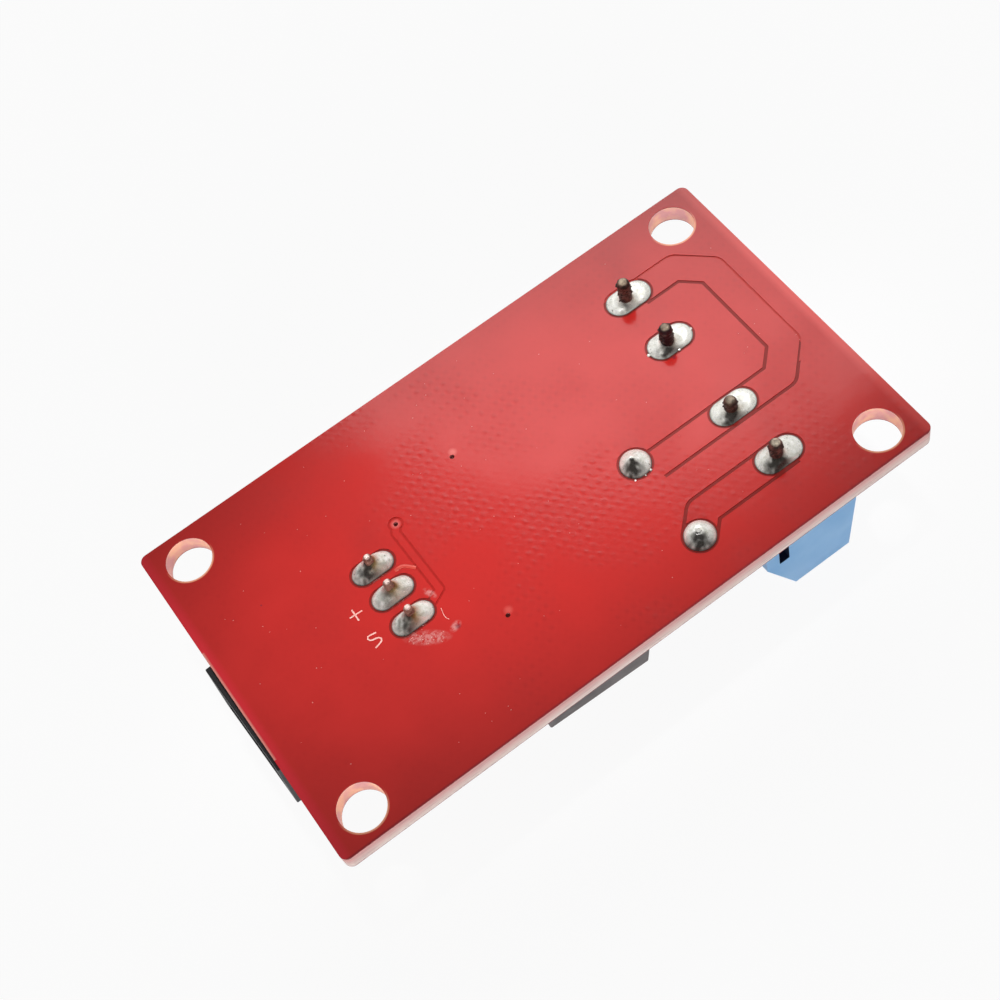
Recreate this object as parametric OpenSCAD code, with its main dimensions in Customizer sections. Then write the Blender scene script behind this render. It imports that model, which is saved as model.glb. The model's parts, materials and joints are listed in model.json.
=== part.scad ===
/* [Board] */
// Length of the circuit board, from the connector end to the terminal end
board_l = 50; // [48:0.5:65]
// Width of the circuit board
board_w = 28.5; // [28:0.5:40]
// Thickness of the circuit board
board_t = 1.6; // [0.8:0.1:2.4]
// Radius of the board's corners
board_corner_r = 0.6; // [0.2:0.1:2]

/* [Mounting holes] */
// Diameter of the four mounting holes
hole_d = 3.5; // [2.6:0.1:4]
// Distance from a hole's centre to the end of the board
hole_end = 3; // [2.6:0.1:3.5]
// Distance from a hole's centre to the side of the board
hole_side = 2.45; // [2.4:0.05:3.5]

/* [Copper] */
// Depth of the gaps between copper areas under the mask
gap_depth = 0.06; // [0.02:0.01:0.15]
// Width of the gaps between copper areas
gap_w = 0.26; // [0.2:0.02:0.5]
// Width of the gap along the outside of the load track's loop
outer_gap_w = 0.15; // [0.1:0.01:0.3]
// Width of the gap along the signal track
signal_gap_w = 0.16; // [0.1:0.01:0.3]
// Width of the mask opening's bare rim around each solder joint
rim_w = 0.2; // [0.1:0.02:0.3]
// Width of the load tracks
load_track_w = 2.15; // [1.5:0.05:3]
// Distance from the terminal pads' middle to the load tracks' centre line
load_track_y = 0.1; // [0:0.05:0.3]
// Distance from the load track's centre line to the terminal end
load_track_end = 3.25; // [2.6:0.05:4]
// Size of the slanted corners of the load track
load_track_bend = 2; // [1:0.1:3]
// Length of the copper that joins the load track to the area beside its end
bridge_l = 1; // [0.5:0.1:1.5]
// Width of the signal track
signal_track_w = 0.5; // [0.4:0.05:0.8]
// Distance from the connector pins to the signal track
signal_track_x = 2.77; // [2.6:0.01:3.5]
// Slant of the signal track at its two ends
signal_track_slant = 0.65; // [0.4:0.05:1]
// Distance from the signal track to its via
signal_via_x = 0.38; // [0.2:0.02:0.6]
// Distance along the board's width from the middle pin to that via
signal_via_y = 4.4; // [3.5:0.1:6]
// Places of the two plain vias, from the middle connector pin
via_places = [[9.4, 6.3], [5.35, -6.6]]; // [-10:0.05:10]
// Diameter of the ring of copper around a via
via_d = 0.86; // [0.6:0.02:1.2]
// Diameter of the dimple that a via leaves in the mask
via_hole_d = 0.35; // [0.2:0.05:0.5]
// Depth of that dimple
via_hole_depth = 0.2; // [0.1:0.05:0.4]

/* [Pin rows] */
// Shift of both pin rows from the middle of the board
row_shift = -0.1; // [-0.5:0.05:0.5]
// Distance from the terminal pins to the terminal end of the board
terminal_inset = 9.45; // [9:0.05:11]
// Distance from the connector pins to the connector end of the board
connector_inset = 13.2; // [12.8:0.1:15]

/* [Screw terminals] */
// Distance between the two pins of one terminal
pole_pitch = 5.08; // [5:0.02:5.4]
// Distance between the middles of the two terminals
block_pitch = 12.5; // [11:0.1:12.6]
// How far a terminal housing reaches past its poles at each end
end_wall = 0.3; // [0:0.05:0.4]
// Height of the terminal housing
terminal_h = 13; // [12.6:0.1:16]
// Distance from the pins to the wire side of the housing
terminal_front = 4.6; // [4.3:0.1:6]
// Distance from the pins to the back of the housing
terminal_back = 3.8; // [3:0.1:4.2]
// Height at which the wire side starts to lean back
terminal_lean_z = 6.6; // [5:0.1:8]
// How far the wire side leans back at the top
terminal_lean = 0.7; // [0:0.1:0.7]
// Run of the slope on the back of the housing
terminal_slope = 2.5; // [1:0.1:2.5]
// Height at which the slope on the back starts
terminal_slope_z = 7.9; // [6:0.1:9]
// Width of the joining groove on a housing's end
groove_w = 0.9; // [0.5:0.1:1.2]
// Depth of the joining groove
groove_depth = 1.2; // [0.2:0.1:1.5]
// Height of the joining groove
groove_h = 8.1; // [5:0.1:9]
// Distance from the pins to the joining groove
groove_x = 2.2; // [1.8:0.1:2.5]

/* [Clamps] */
// Distance from the pins to the clamp screws
clamp_x = 1.3; // [1.2:0.05:1.4]
// Travel of a clamp cage from open to closed
cage_lift = 2.2; // [1.6:0.1:2.4]
// Width of a clamp cage
cage_w = 3.5; // [3:0.1:3.6]
// Depth of a clamp cage, along the wire
cage_d = 3.6; // [3:0.1:3.7]
// Side wall of a clamp cage
cage_wall = 0.45; // [0.3:0.05:0.6]
// Floor of a clamp cage, under the wire
cage_floor = 0.6; // [0.4:0.1:1]
// Threaded roof of a clamp cage
cage_roof = 1.8; // [1:0.1:2]
// Diameter of the clamp screw's thread
screw_d = 2.5; // [2:0.1:2.6]
// Diameter of the clamp screw's head
screw_head_d = 3.5; // [3:0.1:3.6]
// Height of the clamp screw's head
screw_head_h = 1.5; // [1:0.1:1.8]
// Width of the screwdriver slot
screw_slot_w = 0.7; // [0.4:0.1:1]
// Depth of the screwdriver slot
screw_slot_h = 0.8; // [0.4:0.1:0.9]
// Thickness of the wall that holds the screw's head
seat_t = 0.8; // [0.5:0.1:1]
// Thickness of the contact strip
strip_t = 0.8; // [0.5:0.1:1]
// Width of the contact strip
strip_w = 2.2; // [1.6:0.1:2.3]
// Diameter of a terminal pin
pin_d = 1; // [0.8:0.05:1.2]
// Lengths of the four terminal pins past the board
pin_tails = [2.7, 2.5, 1.7, 2.4]; // [1:0.1:4]
// Distance along the board from a terminal pin to the middle of its pad
pin_set_x = 0.3; // [0:0.05:0.4]
// Distance across the board from a terminal pin to the middle of its pad
pin_set_y = 0.15; // [0:0.05:0.3]

/* [Connector] */
// Width of the connector housing
connector_w = 9.8; // [9.4:0.1:12]
// Height of the connector housing
connector_h = 6.2; // [5:0.1:8]
// Length of the connector housing
connector_l = 11.4; // [9:0.1:11.6]
// How far the connector reaches past the end of the board
connector_over = 0.4; // [0.2:0.05:1]
// How far the connector's rim leans out, away from the board
connector_lean = 0.35; // [0:0.05:0.5]
// Angle by which the connector sits askew
connector_skew = 1.3; // [0:0.1:3]
// Wall of the connector's mouth
connector_wall = 0.8; // [0.6:0.1:1.2]
// Depth of the connector's mouth
mouth_depth = 8.4; // [6:0.1:8.6]
// Width of the latch window in the connector's outer wall
latch_w = 3.6; // [2:0.1:5]
// Distance from the mouth's rim to the latch window
latch_rim = 1.2; // [0.8:0.1:2]
// Length of the latch window
latch_l = 3; // [2:0.1:4]
// Distance between the connector's pins
header_pitch = 2.54; // [2.5:0.02:2.54]
// Thickness of a square connector pin
header_pin = 0.64; // [0.5:0.02:0.7]
// Distance from the mouth's rim to the pin tips
pin_recess = 1.6; // [1:0.1:3]
// Length of the connector pins past the board
header_tail = 2; // [1.5:0.1:3]
// Length of the point at a connector pin's end
header_point = 0.45; // [0.2:0.05:0.6]
// Thickness of a connector pin at its tip
header_tip = 0.36; // [0.2:0.02:0.5]

/* [Power transistor] */
// Length of the transistor's body
fet_l = 8.9; // [8:0.1:9.2]
// Width of the transistor's body
fet_w = 10.2; // [9.8:0.1:10.4]
// Height of the transistor's body
fet_h = 4.5; // [4:0.1:4.8]
// Distance from the transistor's body to the side of the board
fet_edge = 1; // [0.8:0.05:1.6]
// Distance from the connector pins to the middle of the transistor
fet_x = 7.85; // [7.5:0.05:8.5]
// Angle by which the transistor sits askew
fet_skew = 1.6; // [0:0.1:3]
// Height at which the body's sides start to taper
fet_taper_z = 2; // [1.6:0.1:3]
// How far the body's sides taper in at the top
fet_taper = 0.25; // [0:0.05:0.5]
// Thickness of the drain tab
tab_t = 1.27; // [1:0.01:1.4]
// How far the drain tab reaches past the body
tab_over = 1.5; // [1:0.1:2]
// Distance from the drain tab to the body's sides
tab_margin = 0.3; // [0.1:0.05:0.6]
// Distance between neighbouring transistor leads
fet_pitch = 2.54; // [2.5:0.01:2.54]
// Width of a transistor lead
fet_lead_w = 0.8; // [0.6:0.05:1]
// Thickness of a transistor lead
fet_lead_t = 0.5; // [0.4:0.05:0.6]
// Height of a transistor lead where it leaves the body
fet_lead_z = 2.5; // [2.2:0.05:2.8]
// How far a transistor lead reaches into the body
fet_lead_in = 0.8; // [0.5:0.1:1.2]
// Length of a transistor lead before it bends down
fet_lead_out = 1.3; // [1:0.1:1.6]
// Length of a transistor lead's foot
fet_foot = 2.1; // [1.5:0.1:2.4]

/* [Diode] */
// Distance between the diode's leads
diode_pitch = 7.43; // [7:0.01:9]
// Shift of the diode from the middle of the room between transistor and terminals
diode_shift = 0.53; // [-0.5:0.01:0.8]
// Distance from the diode's middle to the pin rows' middle
diode_y = 6.56; // [6:0.02:7]
// Length of the diode's body
diode_l = 5; // [4:0.1:5.4]
// Diameter of the diode's body
diode_d = 2.7; // [2:0.1:3]
// Diameter of the diode's leads
diode_lead_d = 0.6; // [0.6:0.05:0.9]
// Gap between the diode's body and the board
diode_lift = 0.25; // [0.1:0.05:1]
// Length of the diode's leads past the board
diode_tail = 0.8; // [0.6:0.1:3]

/* [Optocoupler] */
// Length of the optocoupler's body, between its leads
opto_l = 6.5; // [6:0.1:7]
// Width of the optocoupler's body
opto_w = 4.6; // [4.2:0.1:5]
// Height of the optocoupler's body
opto_h = 3.4; // [2.5:0.1:4]
// Gap between the optocoupler's body and the board
opto_lift = 0.3; // [0.1:0.05:0.5]
// Distance from the connector pins to the optocoupler's middle
opto_x = 8.8; // [8.6:0.1:9.4]
// Distance from the pin rows' middle to the optocoupler's middle
opto_y = 5.7; // [5:0.1:6.5]
// Distance between neighbouring optocoupler leads
opto_pitch = 2.54; // [2.5:0.01:2.54]
// Width of an optocoupler lead
opto_lead_w = 0.9; // [0.5:0.05:1.2]
// Thickness of an optocoupler lead
opto_lead_t = 0.26; // [0.2:0.02:0.3]
// Height of an optocoupler lead above the underside of the body
opto_lead_z = 1.4; // [1:0.1:1.8]
// How far an optocoupler lead reaches past the body
opto_lead_out = 1.8; // [1.4:0.1:2]
// Length of an optocoupler lead's foot
opto_foot = 1; // [0.8:0.1:1.2]

/* [Chip parts] */
// Length of a chip part
chip_l = 2; // [1.6:0.1:2.2]
// Width of a chip part
chip_w = 1.25; // [0.8:0.05:1.4]
// Height of a chip resistor
chip_h = 0.5; // [0.3:0.05:0.7]
// Distance from the connector pins to the first column of chip parts
chip_x_in = 1.6; // [1.2:0.1:2]
// Distance from the pin rows' middle to the nearest chip resistor
chip_y = 1.8; // [1.6:0.1:2.4]
// Distance between chip parts of one column
chip_step = 3; // [2:0.1:3.2]
// Distance from the indicator lamp to the side of the board
lamp_edge = 3.2; // [2.5:0.1:4]
// Height of the indicator lamp's base
lamp_base_h = 0.35; // [0.2:0.05:0.5]
// Height of the indicator lamp's lens
lamp_lens_h = 0.45; // [0.3:0.05:0.6]
// Length of the indicator lamp's lens
lamp_lens_l = 1.25; // [1:0.05:1.4]

/* [Solder] */
// Length of a terminal's oval solder joint
terminal_solder_l = 3.65; // [3:0.05:4]
// Width of a terminal's oval solder joint
terminal_solder_w = 2.1; // [1.8:0.05:2.2]
// Height of a terminal's solder joint at its edge-to-edge crown
terminal_solder_h = 0.4; // [0.3:0.05:0.8]
// Length of a connector pin's oval solder joint
header_solder_l = 3.28; // [2.6:0.02:3.6]
// Width of a connector pin's oval solder joint
header_solder_w = 1.64; // [1.4:0.02:1.7]
// Height of a connector pin's solder joint
header_solder_h = 0.6; // [0.3:0.05:0.8]
// Diameter of a diode lead's round solder joint
diode_solder_d = 2.3; // [1.8:0.05:2.6]
// Height of a diode lead's solder joint
diode_solder_h = 0.6; // [0.3:0.05:0.9]
// How far solder climbs a pin above the joint's crown
solder_climb = 0.6; // [0.3:0.05:0.65]
// Thickness of the solder collar around a pin at its foot
solder_collar = 0.34; // [0.2:0.02:0.4]
// Thickness of the solder collar where it ends
solder_edge = 0.05; // [0.02:0.01:0.1]

/* [Fits] */
// Gap between a pin and its hole in the board
pin_gap = 0.15; // [0.05:0.05:0.2]
// Gap between a sliding cage and its housing
slide_gap = 0.15; // [0.05:0.05:0.2]
// Gap that a cage keeps at the ends of its travel
stop_gap = 0.2; // [0.1:0.05:0.3]
// Gap around a screw's head and shank in the housing
turn_gap = 0.3; // [0.2:0.05:0.3]
// Gap between a screw and its thread in the cage
thread_gap = 0.06; // [0.02:0.01:0.1]
// Gap between a screw's head and its seat
seat_gap = 0.05; // [0.02:0.01:0.1]

/* [Hidden] */
$fn = 48;

mask_red = "#c8322e";
block_blue = "#82a5cd";
tin = "#c9cacb";
brass = "#b99a5b";
epoxy = "#26262a";
over = 1;

poles = [0, 1, 2, 3];
headers = [0, 1, 2];
terminal_x = board_l / 2 - terminal_inset;
header_x = connector_inset - board_l / 2;
terminal_rear = terminal_x - terminal_back;
fet_mid = [header_x + fet_x, fet_edge + fet_w / 2 - board_w / 2];
opto_mid = [header_x + opto_x, row_shift + opto_y];
tab_end = fet_mid[0] + fet_l / 2 + tab_over;
opto_end = opto_mid[0] + opto_l / 2 + opto_lead_out;
diode_at = (tab_end + terminal_rear) / 2 + diode_shift;
diode_mid_y = row_shift - diode_y;
terminal_w = 2 * (pole_pitch + end_wall);
hole_spacing_x = board_l - 2 * hole_end;
hole_spacing_y = board_w - 2 * hole_side;

function block_y(block) = row_shift + block_pitch / 2 - block * block_pitch;
function pole_y(pole) = block_y(floor(pole / 2)) + pole_pitch / 2 - (pole % 2) * pole_pitch;
function run_y(pole) = pole_y(pole) - load_track_y;
function header_y(pin) = row_shift + (1 - pin) * header_pitch;
function header_at(pin) = [header_x, row_shift]
    + (header_y(pin) - row_shift) * [-sin(connector_skew), cos(connector_skew)];
function lead_y(lead) = diode_mid_y + (lead == 0 ? 1 : -1) * diode_pitch / 2;

foot_t = strip_t;
cage_z = foot_t + stop_gap;
window_z = cage_z + cage_floor;
window_h = strip_t + cage_lift + 2 * stop_gap;
strip_z = window_z + window_h - stop_gap - strip_t;
cage_h = cage_floor + window_h + cage_roof;
cavity_top = cage_z + cage_h + cage_lift + stop_gap;
seat_z = cavity_top + seat_t;
head_z = seat_z + seat_gap;
shank_z = strip_z + strip_t + stop_gap;
cavity_back = clamp_x - cage_d / 2 - slide_gap;
cavity_front = clamp_x + cage_d / 2 + slide_gap;
leg_front = cavity_back - stop_gap;
leg_back = leg_front - strip_t;
strip_front = cavity_front - stop_gap;

supply_x = board_l / 2 - load_track_end;
pad_end = terminal_x + (terminal_solder_l - terminal_solder_w) / 2;
supply_path = [[pad_end, run_y(0)], [supply_x - load_track_bend, run_y(0)],
    [supply_x, run_y(0) - load_track_bend], [supply_x, run_y(2) + load_track_bend],
    [supply_x - load_track_bend, run_y(2)], [diode_at, run_y(2)]];
switched_path = [[pad_end, run_y(3)],
    [diode_at + (run_y(3) - lead_y(1)), run_y(3)], [diode_at, lead_y(1)]];
signal_x = header_x + signal_track_x;
signal_end = [signal_x + signal_via_x, row_shift + signal_via_y];
signal_path = [[header_x, header_y(2)], [signal_x - 2 * signal_track_slant, header_y(2)],
    [signal_x, header_y(2) + signal_track_slant], [signal_x, signal_end[1] - signal_track_slant], signal_end];
via_points = concat([signal_end], [for (place = via_places) [header_x, row_shift] + place]);

chip_in = header_x + chip_x_in;
chip_out = (opto_end + terminal_rear) / 2;
lamp_y = board_w / 2 - lamp_edge;

module under_board(at) {
    translate([at[0], at[1], -board_t])
        rotate([180, 0, 0])
            children();
}

module across(width) {
    rotate([90, 0, 0])
        linear_extrude(width, center = true)
            children();
}

module box(from, to) {
    translate(from)
        cube(to - from);
}

module oval(length, width) {
    square([length - width, width], center = true);
    for (side = [-1, 1])
        translate([side * (length - width) / 2, 0])
            circle(d = width);
}

module track(path, width) {
    for (i = [1 : len(path) - 1]) {
        run = path[i] - path[i - 1];
        translate(path[i - 1])
            rotate(atan2(run[1], run[0]))
                translate([0, -width / 2])
                    square([norm(run), width]);
        translate(path[i])
            circle(d = width);
    }
}

module joints_outline(grow) {
    for (pole = poles)
        translate([terminal_x, pole_y(pole)])
            oval(terminal_solder_l + 2 * grow, terminal_solder_w + 2 * grow);
    for (pin = headers)
        translate(header_at(pin))
            oval(header_solder_l + 2 * grow, header_solder_w + 2 * grow);
    for (lead = [0, 1])
        translate([diode_at, lead_y(lead)])
            circle(d = diode_solder_d + 2 * grow);
}

module load_tracks(grow) {
    track(supply_path, load_track_w + 2 * grow);
    track(switched_path, load_track_w + 2 * grow);
}

module signal_track(grow) {
    track(signal_path, signal_track_w + 2 * grow);
    translate(signal_end)
        circle(d = via_d + 2 * grow);
}

module outer_copper() {
    difference() {
        translate([terminal_x, run_y(2)])
            square([board_l, board_w]);
        polygon(supply_path);
        track(supply_path, load_track_w + 2 * outer_gap_w);
    }
}

module copper_gaps() {
    difference() {
        union() {
            load_tracks(gap_w);
            signal_track(signal_gap_w);
        }
        joints_outline(0);
        load_tracks(0);
        signal_track(0);
        outer_copper();
        translate([diode_at - load_track_w, run_y(2) - load_track_w])
            square([load_track_w + bridge_l, load_track_w + lead_y(0) - run_y(2)]);
    }
    difference() {
        joints_outline(rim_w);
        joints_outline(0);
    }
}

module board_outline() {
    square([board_l - 2 * board_corner_r, board_w], center = true);
    square([board_l, board_w - 2 * board_corner_r], center = true);
    for (x = [-1, 1], y = [-1, 1])
        translate([x * (board_l / 2 - board_corner_r), y * (board_w / 2 - board_corner_r)])
            circle(r = board_corner_r);
}

module board_drills() {
    for (x = [-1, 1], y = [-1, 1])
        translate([x * hole_spacing_x / 2, y * hole_spacing_y / 2])
            circle(d = hole_d);
    for (pole = poles)
        translate([terminal_x - pin_set_x, pole_y(pole) - pin_set_y])
            circle(d = pin_d + 2 * pin_gap);
    for (pin = headers)
        translate(header_at(pin))
            circle(d = header_pin * sqrt(2) + 2 * pin_gap);
    for (lead = [0, 1])
        translate([diode_at, lead_y(lead)])
            circle(d = diode_lead_d + 2 * pin_gap);
}

module circuit_board() {
    color(mask_red)
        difference() {
            translate([0, 0, -board_t])
                linear_extrude(board_t)
                    difference() {
                        board_outline();
                        board_drills();
                    }
            translate([0, 0, -gap_depth])
                linear_extrude(gap_depth + over)
                    copper_gaps();
            for (via = via_points)
                translate([via[0], via[1], -via_hole_depth])
                    cylinder(d = via_hole_d, h = via_hole_depth + over);
        }
}

module terminal_profile() {
    polygon([[-terminal_back, 0], [terminal_front, 0], [terminal_front, terminal_lean_z],
        [terminal_front - terminal_lean, terminal_h], [terminal_slope - terminal_back, terminal_h],
        [-terminal_back, terminal_slope_z]]);
}

module terminal_housing(block) {
    color(block_blue)
        under_board([terminal_x, block_y(block)])
            difference() {
                across(terminal_w)
                    terminal_profile();
                for (side = [-1, 1])
                    translate([0, side * pole_pitch / 2, 0])
                        clamp_space();
                box([-groove_x - groove_w / 2, terminal_w / 2 - groove_depth, -over],
                    [groove_w / 2 - groove_x, terminal_w / 2 + over, groove_h]);
            }
}

module clamp_space() {
    half = cage_w / 2 + slide_gap;
    box([cavity_back, -half, -over], [cavity_front, half, cavity_top]);
    box([leg_back, -strip_w / 2, -over], [cavity_back + over, strip_w / 2, strip_z + strip_t]);
    box([cavity_front - over, cage_wall - cage_w / 2, window_z],
        [terminal_front + over, cage_w / 2 - cage_wall, strip_z]);
    translate([clamp_x, 0, cavity_top - over])
        cylinder(d = screw_d + 2 * turn_gap, h = terminal_h);
    translate([clamp_x, 0, seat_z])
        cylinder(d = screw_head_d + 2 * turn_gap, h = terminal_h);
}

module contact(pole) {
    color(brass)
        under_board([terminal_x, pole_y(pole)]) {
            box([leg_back, -strip_w / 2, strip_z], [strip_front, strip_w / 2, strip_z + strip_t]);
            box([leg_back, -strip_w / 2, 0], [leg_front, strip_w / 2, strip_z + strip_t]);
            box([leg_back, -strip_w / 2, 0], [pin_d / 2 - pin_set_x, strip_w / 2, foot_t]);
            translate([-pin_set_x, pin_set_y, -board_t - pin_tails[pole] + pin_d / 2]) {
                cylinder(d = pin_d, h = board_t + pin_tails[pole] - pin_d / 2 + foot_t);
                sphere(d = pin_d);
            }
        }
}

module clamp_cage(pole) {
    inner = cage_w / 2 - cage_wall;
    color(tin)
        under_board([terminal_x + clamp_x, pole_y(pole)])
            difference() {
                box([-cage_d / 2, -cage_w / 2, cage_z], [cage_d / 2, cage_w / 2, cage_z + cage_h]);
                box([-cage_d, -inner, window_z], [cage_d, inner, window_z + window_h]);
                translate([0, 0, window_z])
                    cylinder(d = screw_d + 2 * thread_gap, h = cage_h);
            }
}

module clamp_screw(pole) {
    color(tin)
        under_board([terminal_x + clamp_x, pole_y(pole)])
            difference() {
                union() {
                    translate([0, 0, shank_z])
                        cylinder(d = screw_d, h = head_z - shank_z + screw_head_h / 2);
                    translate([0, 0, head_z])
                        cylinder(d = screw_head_d, h = screw_head_h);
                }
                box([-screw_head_d, -screw_slot_w / 2, head_z + screw_head_h - screw_slot_h],
                    [screw_head_d, screw_slot_w / 2, head_z + screw_head_h + over]);
            }
}

connector_front = -board_l / 2 - connector_over - header_x;
connector_back = connector_front + connector_l;
header_z = connector_h / 2;

module on_connector() {
    under_board([header_x, row_shift])
        rotate(-connector_skew)
            children();
}

module pin_slots() {
    half = header_pin / 2;
    for (pin = headers)
        box([connector_front, header_y(pin) - row_shift - half, header_z - half],
            [connector_back + over, header_y(pin) - row_shift + half, header_z + half]);
}

module connector_housing() {
    half = connector_w / 2;
    color(epoxy)
        on_connector()
            difference() {
                across(connector_w)
                    polygon([[connector_front, 0], [connector_back, 0], [connector_back, connector_h],
                        [connector_front - connector_lean, connector_h]]);
                box([connector_front - connector_lean - over, connector_wall - half, connector_wall],
                    [connector_front + mouth_depth, half - connector_wall, connector_h - connector_wall]);
                box([connector_front + latch_rim, -latch_w / 2, header_z],
                    [connector_front + latch_rim + latch_l, latch_w / 2, connector_h + over]);
                pin_slots();
            }
}

module pin_point() {
    across(header_pin)
        polygon([[-header_tip / 2, 0], [header_tip / 2, 0],
            [header_pin / 2, header_point], [-header_pin / 2, header_point]]);
}

module connector_pin(pin) {
    half = header_pin / 2;
    color(tin)
        on_connector()
            translate([0, row_shift - header_y(pin), 0]) {
                box([connector_front + pin_recess, -half, header_z - half], [half, half, header_z + half]);
                box([-half, -half, header_point - board_t - header_tail], [half, half, header_z + half]);
                translate([0, 0, -board_t - header_tail])
                    intersection() {
                        pin_point();
                        rotate(90)
                            pin_point();
                    }
            }
}

module on_fet() {
    under_board(fet_mid)
        rotate(fet_skew)
            children();
}

module fet_side(length) {
    polygon([[-length / 2, 0], [length / 2, 0], [length / 2, fet_taper_z],
        [length / 2 - fet_taper, fet_h], [fet_taper - length / 2, fet_h], [-length / 2, fet_taper_z]]);
}

module fet_lead(place) {
    out = fet_lead_out + fet_lead_t;
    top = fet_lead_z + fet_lead_t;
    translate([-fet_l / 2, place * fet_pitch, 0])
        across(fet_lead_w)
            polygon([[fet_lead_in, fet_lead_z], [fet_lead_in, top], [-out, top],
                [-out, fet_lead_t], [-out - fet_foot + fet_lead_t, fet_lead_t],
                [-out - fet_foot + fet_lead_t, 0], [-fet_lead_out, 0], [-fet_lead_out, fet_lead_z]]);
}

module tab_shape() {
    half = fet_w / 2 - tab_margin;
    box([fet_lead_in - fet_l / 2, -half, 0], [fet_l / 2 + tab_over, half, tab_t]);
    box([-fet_l / 2 - fet_lead_out, -fet_lead_w / 2, fet_lead_z],
        [2 * fet_lead_in - fet_l / 2, fet_lead_w / 2, fet_lead_z + fet_lead_t]);
    box([fet_lead_in - fet_l / 2, -fet_lead_w / 2, 0],
        [2 * fet_lead_in - fet_l / 2, fet_lead_w / 2, fet_lead_z + fet_lead_t]);
}

module transistor_body() {
    color(epoxy)
        on_fet()
            difference() {
                intersection() {
                    across(fet_w)
                        fet_side(fet_l);
                    rotate(90)
                        across(fet_l)
                            fet_side(fet_w);
                }
                tab_shape();
                fet_lead(1);
                fet_lead(-1);
            }
}

module transistor_tab() {
    color(tin)
        on_fet()
            tab_shape();
}

module transistor_lead(place) {
    color(tin)
        on_fet()
            fet_lead(place);
}

diode_z = diode_lift + diode_d / 2;

module diode_body() {
    color(epoxy)
        under_board([diode_at, diode_mid_y])
            translate([0, 0, diode_z])
                rotate([90, 0, 0])
                    cylinder(d = diode_d, h = diode_l, center = true);
}

module diode_lead(lead) {
    reach = (diode_pitch - diode_l) / 2;
    color(tin)
        under_board([diode_at, lead_y(lead)]) {
            translate([0, 0, -board_t - diode_tail])
                cylinder(d = diode_lead_d, h = board_t + diode_tail + diode_z);
            translate([0, 0, diode_z])
                sphere(d = diode_lead_d);
            translate([0, 0, diode_z])
                rotate([lead == 0 ? -90 : 90, 0, 0])
                    cylinder(d = diode_lead_d, h = reach);
        }
}

module optocoupler_body() {
    color(epoxy)
        under_board(opto_mid)
            difference() {
                box([-opto_l / 2, -opto_w / 2, opto_lift], [opto_l / 2, opto_w / 2, opto_lift + opto_h]);
                translate([opto_foot - opto_l / 2, opto_w / 2 - opto_foot, opto_lift + opto_h - opto_lead_t])
                    cylinder(d = opto_lead_w, h = opto_h);
            }
}

module optocoupler_lead(end, side) {
    top = opto_lift + opto_lead_z;
    bend = opto_lead_out - opto_foot;
    color(tin)
        under_board(opto_mid)
            rotate(end == 0 ? 0 : 180)
                translate([opto_l / 2, side * opto_pitch / 2, 0])
                    across(opto_lead_w)
                        polygon([[0, top], [0, top - opto_lead_t], [bend - opto_lead_t, top - opto_lead_t],
                            [bend - opto_lead_t, 0], [opto_lead_out, 0], [opto_lead_out, opto_lead_t],
                            [bend, opto_lead_t], [bend, top]]);
}

module chip(at, height) {
    under_board(at)
        box([-chip_w / 2, -chip_l / 2, 0], [chip_w / 2, chip_l / 2, height]);
}

module resistor(number) {
    places = [[chip_out, row_shift + chip_y], [chip_out, row_shift + chip_y + chip_step],
        [chip_in, lamp_y - chip_step]];
    color(epoxy)
        chip(places[number], chip_h);
}

module lamp_base() {
    color("ivory")
        chip([chip_in, lamp_y], lamp_base_h);
}

module lamp_lens() {
    top = lamp_base_h + lamp_lens_h;
    foot = lamp_lens_l / 2;
    crown = foot - lamp_lens_h / 4;
    color("honeydew")
        under_board([chip_in, lamp_y])
            rotate(90)
                across(chip_w)
                    polygon([[-foot, lamp_base_h], [foot, lamp_base_h], [crown, top], [-crown, top]]);
}

module solder_crown(length, width, height) {
    half = width / 2;
    ball = (half * half + height * height) / (2 * height);
    intersection() {
        translate([0, 0, height - ball]) {
            rotate([0, 90, 0])
                cylinder(r = ball, h = length - width, center = true);
            for (side = [-1, 1])
                translate([side * (length - width) / 2, 0, 0])
                    sphere(r = ball);
        }
        box([-length, -width, 0], [length, width, height]);
    }
}

module solder_joint(length, width, height, pin_r, pin_at) {
    difference() {
        union() {
            solder_crown(length, width, height);
            translate([pin_at[0], pin_at[1], height / 2])
                cylinder(r1 = pin_r + solder_collar, r2 = pin_r + solder_edge, h = height / 2 + solder_climb);
        }
        translate([pin_at[0], pin_at[1], -over])
            children();
    }
}

module terminal_solder(pole) {
    color(tin)
        translate([terminal_x, pole_y(pole), 0])
            solder_joint(terminal_solder_l, terminal_solder_w, terminal_solder_h, pin_d / 2,
                [-pin_set_x, -pin_set_y])
                cylinder(d = pin_d, h = pin_tails[pole] + over);
}

module connector_solder(pin) {
    half = header_pin / 2;
    color(tin)
        translate(header_at(pin))
            solder_joint(header_solder_l, header_solder_w, header_solder_h, header_pin / sqrt(2), [0, 0])
                rotate(connector_skew)
                    box([-half, -half, 0], [half, half, header_tail + over]);
}

module diode_solder(lead) {
    color(tin)
        translate([diode_at, lead_y(lead), 0])
            solder_joint(diode_solder_d, diode_solder_d, diode_solder_h, diode_lead_d / 2, [0, 0])
                cylinder(d = diode_lead_d, h = diode_tail + over);
}

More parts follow.
